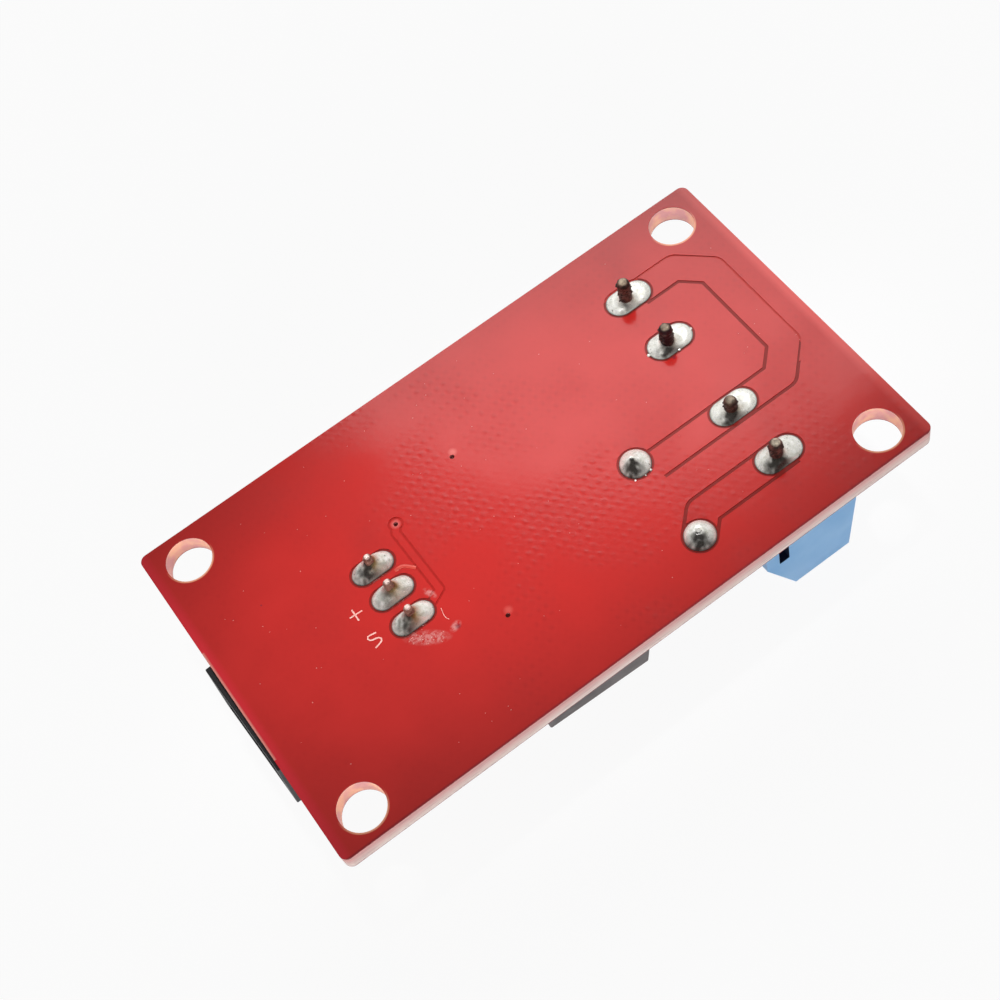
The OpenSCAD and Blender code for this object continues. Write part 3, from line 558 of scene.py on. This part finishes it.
# chip resistors: black glaze on the face, white alumina sides, tinned ends
chipLook = {"glaze": "#1B1B1E", "alumina": "#ECE9E2", "tin": "#C6C5C1", "endMm": 0.4, "sideMm": 0.06,
            "grainMm": 0.15, "grainDepthMm": 0.008, "gloss": (0.25, 0.5)}


def chipFinish(node, look):
    low, high = boxMm(node)
    material, shader, place = newMaterial(node.replace("_", "Ceramic"), {"IOR": 1.5})
    spot = split(place)
    aside = calc("ABSOLUTE", calc("SUBTRACT", spot["Y"], (low.y + high.y) / 2))
    end = calc("GREATER_THAN", aside, (high.y - low.y) / 2 - look["endMm"])
    face = calc("LESS_THAN", spot["Z"], low.z + look["sideMm"])
    grain = speckle(place, 1 / look["grainMm"], 4)
    colour = blend(end, blend(face, look["alumina"], look["glaze"]), look["tin"])
    gloss = ramp(grain, 0, 1, *look["gloss"])
    wire(shader, {"Base Color": colour, "Metallic": end, "Roughness": gloss}, grain, look["grainDepthMm"])
    return material


for number in range(1, 4):
    dress(chipFinish(f"resistor_{number}", chipLook), f"resistor_{number}")
print("chips dressed")

# pins: browned sides where flux baked on, a pale clipped tip
pinLook = {"bakedPerMm": 2.4, "bakedRough": 0.65, "bakedRamp": (0.36, 0.62), "bakedMm": 0.05,
           "gloss": (0.36, 0.62), "tipSpan": 0.2, "tipAboveMm": 0.9, "proudMm": 0.2}
contactPin = {**pinLook, "clean": "#C8C2B6", "shine": 0.3, "tipFrom": 0.66, "tipBare": 0.3}
contactTones = [{"brown": "#6A463B", "dark": "#21150F", "tip": "#C2B096"},
                {"brown": "#33191D", "dark": "#120B0D", "tip": "#BDAA92"},
                {"brown": "#5A4438", "dark": "#1C1411", "tip": "#B3A28C"},
                {"brown": "#744D45", "dark": "#2E1E1A", "tip": "#E2D4BC"}]
headerPin = {**pinLook, "clean": "#D2CEC6", "brown": "#A98272", "dark": "#6A4A40", "tip": "#FFE4DA",
             "shine": 0.12, "tipFrom": 0.5, "tipBare": 0.9}
pinBreakMm = 0.16


def brownedPin(name, look):
    material, shader, place = newMaterial(name, {})
    height = split(place)["Z"]
    facing = ramp(facingUp(material.node_tree), look["tipFrom"], look["tipFrom"] + look["tipSpan"])
    above = calc("GREATER_THAN", height, look["tipAboveMm"])
    proud = ramp(height, 0, look["proudMm"])
    baked = ramp(speckle(place, look["bakedPerMm"], 5, look["bakedRough"]), *look["bakedRamp"])
    bare = ramp(baked, 0, 1, 1, look["tipBare"])
    tip = calc("MULTIPLY", calc("MULTIPLY", facing, above), bare)
    colour = blend(proud, look["clean"], blend(baked, look["brown"], look["dark"]))
    colour = blend(tip, colour, look["tip"])
    shine = ramp(proud, 0, 1, 1, look["shine"])
    gloss = ramp(baked, 0, 1, *look["gloss"])
    wire(shader, {"Base Color": colour, "Metallic": shine, "Roughness": gloss}, baked, look["bakedMm"])
    return material


for number, tones in enumerate(contactTones, 1):  # each tail took the iron's heat differently
    dress(brownedPin(f"tinnedBrass{number}", {**contactPin, **tones}), f"contact_{number}")
made["headerPinTin"] = brownedPin("headerPinTin", headerPin)
for number in range(1, 4):  # square wire with rolled corners
    soften(f"connector_pin_{number}", f"connectorPin{number}", "headerPinTin", "pin_metal", pinBreakMm)
print("pins dressed")

# frosted tin solder: soft white sheen, fine speckle, painted shade in front of the pin and a painted shadow
# round the rim, amber flux beside the pin
solderLook = {
    "tin": "#FFFEF8", "dull": "#DADACF", "burnt": "#2A2622", "amber": "#A08658", "baked": "#3A2920",
    "metallic": 0.3, "gloss": (0.24, 0.42), "frostMm": 0.26, "frostRough": 0.6,
    "frostRamp": (0.4, 0.66), "pitMm": 0.2, "pitRamp": (0.67, 0.73, 0, 0.8), "bumpMm": 0.001,
    "sootRamp": (0.04, 0.9, 1, 0.2), "sootGamma": 2.2, "amberRamp": (0, 0.6), "bakedRamp": (0.5, 1)}


def frostedSolder(look):
    material, shader, place = newMaterial("frostedSolder", {"Metallic": look["metallic"]})
    tree = material.node_tree
    frost = ramp(speckle(place, 1 / look["frostMm"], 3, look["frostRough"]), *look["frostRamp"])
    pits = ramp(speckle(place, 1 / look["pitMm"], 2), *look["pitRamp"])
    flux = addNode(tree, "ShaderNodeAttribute", {"attribute_name": "flux"}).outputs["Fac"]
    soot = addNode(tree, "ShaderNodeAttribute", {"attribute_name": "soot"}).outputs["Fac"]
    # painted shade: dark paint stands for the pin's reflection in front of it and for a contact shadow round
    # the rim
    clean = calc("POWER", ramp(soot, *look["sootRamp"]), look["sootGamma"])
    burnt = calc("SUBTRACT", 1, clean)
    amber = ramp(flux, *look["amberRamp"])
    baked = calc("MAXIMUM", ramp(flux, *look["bakedRamp"]), pits)
    colour = blend(frost, look["tin"], look["dull"])
    for tone, mask in {"amber": amber, "baked": baked, "burnt": burnt}.items():
        colour = blend(mask, colour, look[tone])
    gloss = ramp(frost, 0, 1, *look["gloss"])
    wire(shader, {"Base Color": colour, "Roughness": gloss}, frost, look["bumpMm"])
    return material


solderMetal = frostedSolder(solderLook)

# each joint wets its pad to the outline and climbs its pin, and a lead's joint closes over it
joints = {
    "terminal": {"node": "terminal_solder_", "pinAt": (-0.3, -0.15), "pinR": 0.49, "crown": 0.2, "roll": 0.62,
        "climb": [0.36, 0.4, 0.34, 0.62], "fall": [0.2, 0.26, 0.3, 0.5], "valley": 0, "flux": 0.3,
        "soot": [0.5, 1.05, 1.2, 1.5], "sootSide": (-0.52, -0.85, 0), "sootMm": 1.1, "wander": 0.015},
    "connector": {"node": "connector_solder_", "pinAt": (0, 0), "pinR": 0.31, "crown": 0.5, "roll": 0.8,
        "climb": [1.05, 1, 0.95], "fall": [0.36, 0.34, 0.32], "valley": 0.5, "flux": 0.95,
        "soot": [1.1, 0.6, 0.95], "sootSide": (-0.8, -0.6, 0), "sootMm": 1.3, "wander": 0.04},
    "diode": {"node": "diode_solder_", "flux": 0.12, "soot": [1.35, 1.4], "sootSide": (-0.55, -0.83, 0),
        "sootMm": 1.5, "wander": 0.02, "power": 0.75,
        "caps": [
            {"height": 1.13, "round": 1, "apex": (-0.15, 0.07), "pitMm": 0.09, "pitDepth": 0.1},
            {"height": 0.88, "round": 2, "apex": (-0.04, 0.06), "pitMm": 0.19, "pitDepth": 0.15}]}}
grid = {
    "around": 96, "rings": 22, "ringPower": 0.85, "apexMm": 0.03, "valleyMm": 0.4, "spreadMm": 0.05,
    "endRay": 0.02, "drift": (7.3, 3.1), "wobbleScale": 1.6, "climbPower": 1.1,
    "uneven": 0.1, "unevenScale": 1.1, "fluxMm": 0.32, "fluxEven": 0.6, "fluxAside": 0.4,
    "fluxLeast": 0.4, "patchScale": 1.8, "grime": 0.85, "grimeSwing": 0.7, "grimeScale": 3.4,
    "sootPower": 1.8, "rimSoot": 0.75, "rimMm": 0.07}


def jointRise(form, index, cap, share, inwardMm, away, out):  # height of the solder at one spot
    if cap:
        dome = cap["height"] * (1 - (1 - share) ** cap["round"]) ** form["power"]
        return dome - cap["pitDepth"] * math.exp(-(away.length / cap["pitMm"]) ** 2)
    inward = min(inwardMm / form["roll"], 1)
    dip = 1 - form["valley"] * math.exp(-(away.x / grid["valleyMm"]) ** 2)
    climb = form["climb"][index] * math.exp(-(out / form["fall"][index]) ** grid["climbPower"])
    return form["crown"] * (1 - (1 - inward) ** 2) * dip + climb * min(inward * 2, 1)


def jointFluxAndShade(form, index, spot, facing, out, inwardMm, drift):  # flux, and painted shade, at one spot
    patch = noise.noise(spot * grid["patchScale"] - drift) * 0.5 + 0.5
    aside = grid["fluxEven"] + grid["fluxAside"] * (facing.x - facing.y)
    flux = form["flux"] * math.exp(-out / grid["fluxMm"]) * aside * (grid["fluxLeast"] + patch)
    # painted shade towards the front side of the pin, broken up by noise, and a painted contact shadow along
    # the rim
    grime = grid["grime"] + grid["grimeSwing"] * noise.noise(spot * grid["grimeScale"] + drift)
    towardPaintedShade = max(0, facing.dot(Vector(form["sootSide"]))) ** grid["sootPower"]
    soot = form["soot"][index] * towardPaintedShade * math.exp(-(out / form["sootMm"]) ** 2) * grime
    return flux, max(soot, grid["rimSoot"] * math.exp(-(inwardMm / grid["rimMm"]) ** 2))


def solderJoint(node, form, index):
    low, high = boxMm(node)
    middle = (low + high) / 2
    halfX, halfY = (high.x - low.x) / 2, (high.y - low.y) / 2
    cap = form["caps"][index] if "caps" in form else None
    pinAt = Vector((*(cap["apex"] if cap else form["pinAt"]), 0))
    pinR = grid["apexMm"] if cap else form["pinR"]
    drift = Vector((index * grid["drift"][0] + halfX, index * grid["drift"][1], 0))
    around, rings = grid["around"], grid["rings"]
    points, flux, soot = [], [], []
    for ring in range(rings + 1 if cap else rings + 2):  # a hollow joint ends with a ring at the pin's foot
        share = min(ring / rings, 1) ** grid["ringPower"]
        for step in range(around):
            angle = 2 * math.pi * step / around
            ray = Vector((math.cos(angle), math.sin(angle), 0))
            wobble = 1 - form["wander"] * 0.5 * (1 + noise.noise(ray * grid["wobbleScale"] + drift))
            flank = max(-1, min(1, ray.x / grid["endRay"])) * (halfX - halfY)
            rim = Vector((flank, 0, 0)) + ray * (halfY * wobble + grid["spreadMm"])
            spot = rim.lerp(pinAt + ray * pinR, share)
            away = spot - pinAt
            out = max(away.length - pinR, 0)
            inwardMm = (rim - spot).length
            rise = jointRise(form, index, cap, share, inwardMm, away, out)
            rise *= 1 + grid["uneven"] * noise.noise(spot * grid["unevenScale"] + drift)
            if ring > rings:
                rise = 0
            points.append(((middle.x + spot.x) * mm, (middle.y + spot.y) * mm, rise * mm))
            fluxAndShade = jointFluxAndShade(form, index, spot, away.normalized(), out, inwardMm, drift)
            flux.append(fluxAndShade[0])
            soot.append(fluxAndShade[1])
    bands = rings if cap else rings + 2
    loops = bands + 1 if cap else bands
    faces = []
    for ring in range(bands):
        inner = (ring + 1) % loops * around
        for step in range(around):
            following = (step + 1) % around
            faces.append((ring * around + step, ring * around + following, inner + following, inner + step))
    if cap:
        faces.append([rings * around + step for step in range(around)])
        faces.append([around - 1 - step for step in range(around)])
    piece = newPiece(node.replace("_solder_", "SolderJoint"), points, faces, solderMetal, [node])
    for label, values in (("flux", flux), ("soot", soot)):
        layer = piece.data.attributes.new(label, "FLOAT", "POINT")
        layer.data.foreach_set("value", values)


for form in joints.values():
    for index in range(len(form["soot"])):
        solderJoint(form["node"] + str(index + 1), form, index)
print("solder joints made")

# fillets that hold the chips and leads to the component face
fillets = {
    "columns": 9, "steps": 7, "taper": 0.5,
    "chips": {"heightMm": 0.3, "reachMm": 0.45, "insideMm": 0.05},
    "opto": {"heightMm": 0.2, "reachMm": 0.4, "insideMm": 0.05},
    "leads": {"heightMm": 0.42, "reachMm": 0.6, "insideMm": 0.05},
    "tab": {"heightMm": 0.6, "reachMm": 0.6, "insideMm": 0.2}}
filletPoints, filletFaces = [], []


def filletFoot(node, way, insideMm):  # middle of the end that faces that way, and half its width
    low, high = boxMm(node)
    half = (high - low) / 2
    foot = (low + high) / 2 + Vector((way[0] * (half.x - insideMm), way[1] * (half.y - insideMm), 0))
    return foot, abs(way[0]) * half.y + abs(way[1]) * half.x


def addFillet(node, way, size):
    foot, halfWidth = filletFoot(node, way, size["insideMm"])
    columns, steps = fillets["columns"], fillets["steps"]
    start = len(filletPoints)
    for column in range(columns):
        across = 2 * column / (columns - 1) - 1
        swell = 1 - fillets["taper"] * across ** 4
        x = foot.x - way[1] * across * halfWidth
        y = foot.y + way[0] * across * halfWidth
        filletPoints.append((x * mm, y * mm, boardLow.z * mm))
        for step in range(steps):
            share = step / (steps - 1)
            out = size["insideMm"] + size["reachMm"] * swell * share
            depth = size["heightMm"] * swell * (1 - share) ** 2
            filletPoints.append(((x + way[0] * out) * mm, (y + way[1] * out) * mm, (boardLow.z - depth) * mm))
    loop = steps + 1
    for column in range(columns - 1):
        near = start + column * loop
        for step in range(loop):
            following = (step + 1) % loop
            filletFaces.append((near + step, near + following, near + loop + following, near + loop + step))
    for end in (start, start + (columns - 1) * loop):
        filletFaces.append([end + step for step in range(loop)])


for node in ("resistor_1", "resistor_2", "resistor_3", "lamp_base"):
    for way in ((0, 1), (0, -1)):
        addFillet(node, way, fillets["chips"])
for number in range(1, 5):
    addFillet(f"optocoupler_lead_{number}", (1, 0) if number < 3 else (-1, 0), fillets["opto"])
for node in ("transistor_gate_lead", "transistor_source_lead"):
    addFillet(node, (-1, 0), fillets["leads"])
addFillet("transistor_tab", (1, 0), fillets["tab"])
newPiece("surfaceFillets", filletPoints, filletFaces, solderMetal)
print("fillets made")


def openTree(name, inputs):  # a geometry tree with these inputs
    group = bpy.data.node_groups.new(name, "GeometryNodeTree")
    for label, kind in inputs.items():
        group.interface.new_socket(label, in_out="INPUT", socket_type="NodeSocket" + kind)
    group.interface.new_socket("Result", in_out="OUTPUT", socket_type="NodeSocketGeometry")
    return group, addNode(group, "NodeGroupInput").outputs


def scatter(group, spots, item, size):  # a copy of the item at each spot
    links = {"Points": spots.outputs[0], "Instance": item.outputs[0], "Scale": size.outputs[0]}
    return addNode(group, "GeometryNodeInstanceOnPoints", {}, links)


def closeTree(group, last, material):  # its result as one mesh of one material
    whole = addNode(group, "GeometryNodeRealizeInstances", {}, {0: last.outputs[0]})
    finished = addNode(group, "GeometryNodeSetMaterial", {"Material": material}, {0: whole.outputs[0]})
    addNode(group, "NodeGroupOutput", {}, {0: finished.outputs[0]})
    return group


def grow(name, points, edges, faces, group, values, radii=()):  # a tree's result as a plain mesh
    mesh = bpy.data.meshes.new(name + "Seed")
    mesh.from_pydata(points, edges, faces)
    if radii:
        mesh.attributes.new("beadRadius", "FLOAT", "POINT").data.foreach_set("value", radii)
    piece = link(name, mesh)
    modifier = piece.modifiers.new("tree", "NODES")
    modifier.node_group = group
    for item in group.interface.items_tree:
        if item.in_out == "INPUT" and item.name in values:
            modifier[item.identifier] = values[item.name]
    depsgraph = bpy.context.evaluated_depsgraph_get()
    result = bpy.data.meshes.new_from_object(piece.evaluated_get(depsgraph))
    piece.modifiers.remove(modifier)
    piece.data = result
    result.shade_smooth()
    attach(piece, body)


# line tree: each edge path becomes a flat ink or flux line on one face of the board
lineShape = {"stations": 14, "sides": 8}


def lineTree(material):
    inputs = {"Paths": "Geometry", "Line Width": "Float", "Flatness": "Float", "Face Height": "Float"}
    group, start = openTree("flatLines", inputs)
    curve = addNode(group, "GeometryNodeMeshToCurve", {}, {0: start["Paths"]})
    spline, count = {"spline_type": "CATMULL_ROM"}, {"Count": lineShape["stations"]}
    smooth = addNode(group, "GeometryNodeCurveSplineType", spline, {0: curve.outputs[0]})
    fine = addNode(group, "GeometryNodeResampleCurve", count, {0: smooth.outputs[0]})
    ring = addNode(group, "GeometryNodeCurvePrimitiveCircle", {"Resolution": lineShape["sides"]},
                   {"Radius": calc("MULTIPLY", start["Line Width"], 0.5)})
    swept = {0: fine.outputs[0], 1: ring.outputs[0]}
    tube = addNode(group, "GeometryNodeCurveToMesh", {"Fill Caps": True}, swept)
    squash = addNode(group, "ShaderNodeCombineXYZ", {0: 1, 1: 1}, {2: start["Flatness"]})
    lift = addNode(group, "ShaderNodeCombineXYZ", {}, {2: start["Face Height"]})
    flat = addNode(group, "GeometryNodeTransform", {}, {0: tube.outputs[0], "Scale": squash.outputs[0],
                                                        "Translation": lift.outputs[0]})
    return closeTree(group, flat, material)


def drawLines(name, lines, strokes, group, faceZ=0):  # polylines in millimetres
    points, edges = [], []
    for stroke in strokes:
        edges += [(len(points) + i, len(points) + i + 1) for i in range(len(stroke) - 1)]
        points += [(x * mm, y * mm, 0) for x, y in stroke]
    values = {"Line Width": lines["width"] * mm, "Flatness": lines["flatness"], "Face Height": faceZ * mm}
    grow(name, points, edges, [], group, values)


inkFinish = {"colour": "#FBC7BC", "deep": "#F0A89E", "mottleMm": 0.6, "gloss": (0.45, 0.6),
             "grainMm": 0.08, "grainDepthMm": 0.01}  # thin white ink, pink where red shows through
pinMarks = {
    "width": 0.12, "flatness": 0.12,
    "strokes": [[(-15.25, 0.24), (-14.24, 0.18)], [(-14.8, 0.7), (-14.83, -0.32)],
                [(-14.37, -1.86), (-15.02, -1.76), (-15.1, -2.02), (-14.84, -2.2), (-14.48, -2.27),
                 (-14.34, -2.6), (-15.03, -2.83)]]}
inkLines = lineTree(mouldedPlastic("printedInk", inkFinish))
drawLines("pinMarks", pinMarks, pinMarks["strokes"], inkLines)
print("pin marks printed")

# traces of the hand that soldered it: an amber run of flux beside the middle pad and a hair of scratch
fluxFinish = {"colour": "#D84F40", "deep": "#CF4034", "mottleMm": 0.4, "gloss": (0.12, 0.25),
              "grainMm": 0.1, "grainDepthMm": 0.006}  # glassy resin, orange over the red
fluxRun = {"width": 0.3, "flatness": 0.14,
           "strokes": [[(-10.73, 1.22), (-10.35, 1.26), (-9.98, 1.1), (-9.42, 0.48)]]}
scratch = {"width": 0.04, "flatness": 0.2, "strokes": [[(-9.78, -3.26), (-9.93, -3.95), (-9.8, -4.33)]]}
drawLines("fluxRun", fluxRun, fluxRun["strokes"], lineTree(mouldedPlastic("amberFlux", fluxFinish)))
drawLines("scratch", scratch, scratch["strokes"], inkLines)
print("flux traces made")

# outlines printed on the component face, one round each part; small chips get two bars
underInk = {
    "width": 0.16, "flatness": 0.12, "marginMm": 0.3, "chipMarginMm": 0.36, "insideMm": 0.35,
    "parts": ["terminal_housing_1", "terminal_housing_2", "connector_housing", "transistor_body",
              "diode_body", "optocoupler_body"],
    "chips": ["resistor_1", "resistor_2", "resistor_3", "lamp_base"]}
outlineStrokes = []
for partName in underInk["parts"] + underInk["chips"]:
    low, high = boxMm(partName)
    isChip = partName in underInk["chips"]
    margin = underInk["chipMarginMm"] if isChip else underInk["marginMm"]
    left = max(low.x - margin, boardLow.x + underInk["insideMm"])
    right = high.x + margin
    back, front = low.y - margin, high.y + margin
    outlineStrokes += [[(left, back), (left, front)], [(right, back), (right, front)]]
    if not isChip:
        outlineStrokes += [[(left, back), (right, back)], [(left, front), (right, front)]]
drawLines("partOutlines", underInk, outlineStrokes, inkLines, boardLow.z)
print("outlines printed")

# dust: small pale specks scattered over the lacquer, clear of holes and joints
dust = {"cellMm": 1, "perMm2": 0.09, "radiusMm": 0.042, "seed": 5, "holeClearMm": 2.7, "jointClearMm": 0.5,
        "edgeClearMm": 1}
dustFinish = {"colour": "#EDB8B0", "deep": "#DA8C84", "mottleMm": 0.5, "gloss": (0.7, 0.9),
              "grainMm": 0.05, "grainDepthMm": 0.01}  # chalky lint, pink from the lacquer under it
dustGrey = mouldedPlastic("paleDust", dustFinish)
speckSize = {"least": (0.35, 0.35, 0.3), "most": (1.25, 1, 0.6)}


def dustTree(material):
    inputs = {"Face": "Geometry", "Density": "Float", "Speck Radius": "Float", "Seed": "Int"}
    group, start = openTree("scatteredDust", inputs)
    spots = addNode(group, "GeometryNodeDistributePointsOnFaces", {},
                    {"Mesh": start["Face"], "Density": start["Density"], "Seed": start["Seed"]})
    radius = start["Speck Radius"]
    speck = addNode(group, "GeometryNodeMeshIcoSphere", {"Subdivisions": 1}, {"Radius": radius})
    sizes = {"data_type": "FLOAT_VECTOR", 0: speckSize["least"], 1: speckSize["most"]}
    size = addNode(group, "FunctionNodeRandomValue", sizes, {"Seed": start["Seed"]})
    return closeTree(group, scatter(group, spots, speck, size), material)


def strew(name, settings, points, faces, material, slotName):
    values = {"Density": settings["perMm2"] / mm ** 2, "Speck Radius": settings["radiusMm"] * mm,
              "Seed": settings["seed"]}
    grow(name, points, [], faces, dustTree(material), values)


def dustField(settings):  # square cells of the solder face that are clear of holes and joints
    keepOff = [boxMm(form["node"] + str(i + 1)) for form in joints.values() for i in range(len(form["soot"]))]
    cell, edge = settings["cellMm"], settings["edgeClearMm"]
    clear = settings["jointClearMm"] + cell
    points, faces = [], []
    for column in range(int(boardLow.x + edge), int(boardHigh.x - edge)):
        for row in range(int(boardLow.y + edge), int(boardHigh.y - edge)):
            x, y = column + cell / 2, row + cell / 2
            hole = math.hypot(abs(x) - holeX, abs(y) - holeY)
            covered = any(low.x - clear < x < high.x + clear and low.y - clear < y < high.y + clear
                          for low, high in keepOff)
            if hole < settings["holeClearMm"] or covered:
                continue
            faces.append([len(points) + i for i in range(4)])
            points += [((column + a * cell) * mm, (row + b * cell) * mm, 0)
                       for a, b in ((0, 0), (1, 0), (1, 1), (0, 1))]
    return points, faces


strew("dustSpecks", dust, *dustField(dust), dustGrey, "solder_mask")
print("dust strewn")

# pale crumbs of dried flux in the smear beside the third pad
crumbs = {"perMm2": 16, "radiusMm": 0.055, "seed": 3, "half": (0.18, 0.36),
          "line": [(-12.9, -3.75), (-12.2, -4.3), (-11.5, -4.85), (-10.7, -5.2)]}
crumbPoints = []
for x, y in crumbs["line"]:
    for hand in (-1, 1):
        crumbPoints.append(((x + hand * crumbs["half"][0]) * mm, (y + hand * crumbs["half"][1]) * mm, 0))
crumbFaces = [(2 * i, 2 * i + 2, 2 * i + 3, 2 * i + 1) for i in range(len(crumbs["line"]) - 1)]
strew("fluxCrumbs", crumbs, crumbPoints, crumbFaces, dustGrey, "solder_mask")
print("crumbs strewn")

# lumps of baked flux on the terminal pins' tails, below their clipped tips
crust = {"perMm2": 9, "radiusMm": 0.17, "seed": 11, "sides": 10, "fromMm": 0.5, "tipMm": 0.45,
         "insideMm": 0.03}
crustFinish = {"colour": "#4E332B", "deep": "#17100F", "mottleMm": 0.35, "gloss": (0.35, 0.6),
               "grainMm": 0.08, "grainDepthMm": 0.015}  # brown to black resin, half glossy
bakedFlux = mouldedPlastic("bakedFlux", crustFinish)
crustPoints, crustFaces = [], []
pinX, pinY = joints["terminal"]["pinAt"]
for number in range(1, 5):
    pad = sum(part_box(f"terminal_solder_{number}"), Vector()) / 2 / mm
    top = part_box(f"contact_{number}")[1].z / mm
    radius = joints["terminal"]["pinR"] - crust["insideMm"]
    start = len(crustPoints)
    for step in range(crust["sides"]):
        angle = 2 * math.pi * step / crust["sides"]
        x = pad.x + pinX + radius * math.cos(angle)
        y = pad.y + pinY + radius * math.sin(angle)
        crustPoints += [(x * mm, y * mm, crust["fromMm"] * mm), (x * mm, y * mm, (top - crust["tipMm"]) * mm)]
        near, far = start + 2 * step, start + 2 * ((step + 1) % crust["sides"])
        crustFaces.append([near, far, far + 1, near + 1])
strew("pinCrust", crust, crustPoints, crustFaces, bakedFlux, "solder")
print("pins crusted")

# beads of solder that splashed beside the joints; the last one lies on the third pad's joint
beads = {
    "flatness": 0.7, "subdivisions": 3,
    "places": [(7.95, -4.03, 0, 0.1), (6.6, -4.02, 0, 0.08), (7.42, -4.15, 0, 0.06),
               (13.62, 3.66, 0, 0.13), (15.63, 2.6, 0.02, 0.12), (17.36, 3.46, 0.02, 0.11),
               (16.5, 2.78, 0.04, 0.09), (-12.3, -3.05, 0.36, 0.13)]}


def beadTree(material):
    group, start = openTree("solderBeads", {"Places": "Geometry", "Flatness": "Float"})
    spots = addNode(group, "GeometryNodeMeshToPoints", {}, {"Mesh": start["Places"]})
    bead = addNode(group, "GeometryNodeMeshIcoSphere", {"Radius": 1, "Subdivisions": beads["subdivisions"]})
    radius = addNode(group, "GeometryNodeInputNamedAttribute", {"Name": "beadRadius"}).outputs["Attribute"]
    height = calc("MULTIPLY", radius, start["Flatness"])
    size = addNode(group, "ShaderNodeCombineXYZ", {}, {0: radius, 1: radius, 2: height})
    return closeTree(group, scatter(group, spots, bead, size), material)


beadPoints = [(x * mm, y * mm, z * mm) for x, y, z, r in beads["places"]]
beadRadii = [r * mm for x, y, z, r in beads["places"]]
beadValues = {"Flatness": beads["flatness"]}
grow("solderBeads", beadPoints, [], [], beadTree(solderMetal), beadValues, beadRadii)
print("beads splashed")
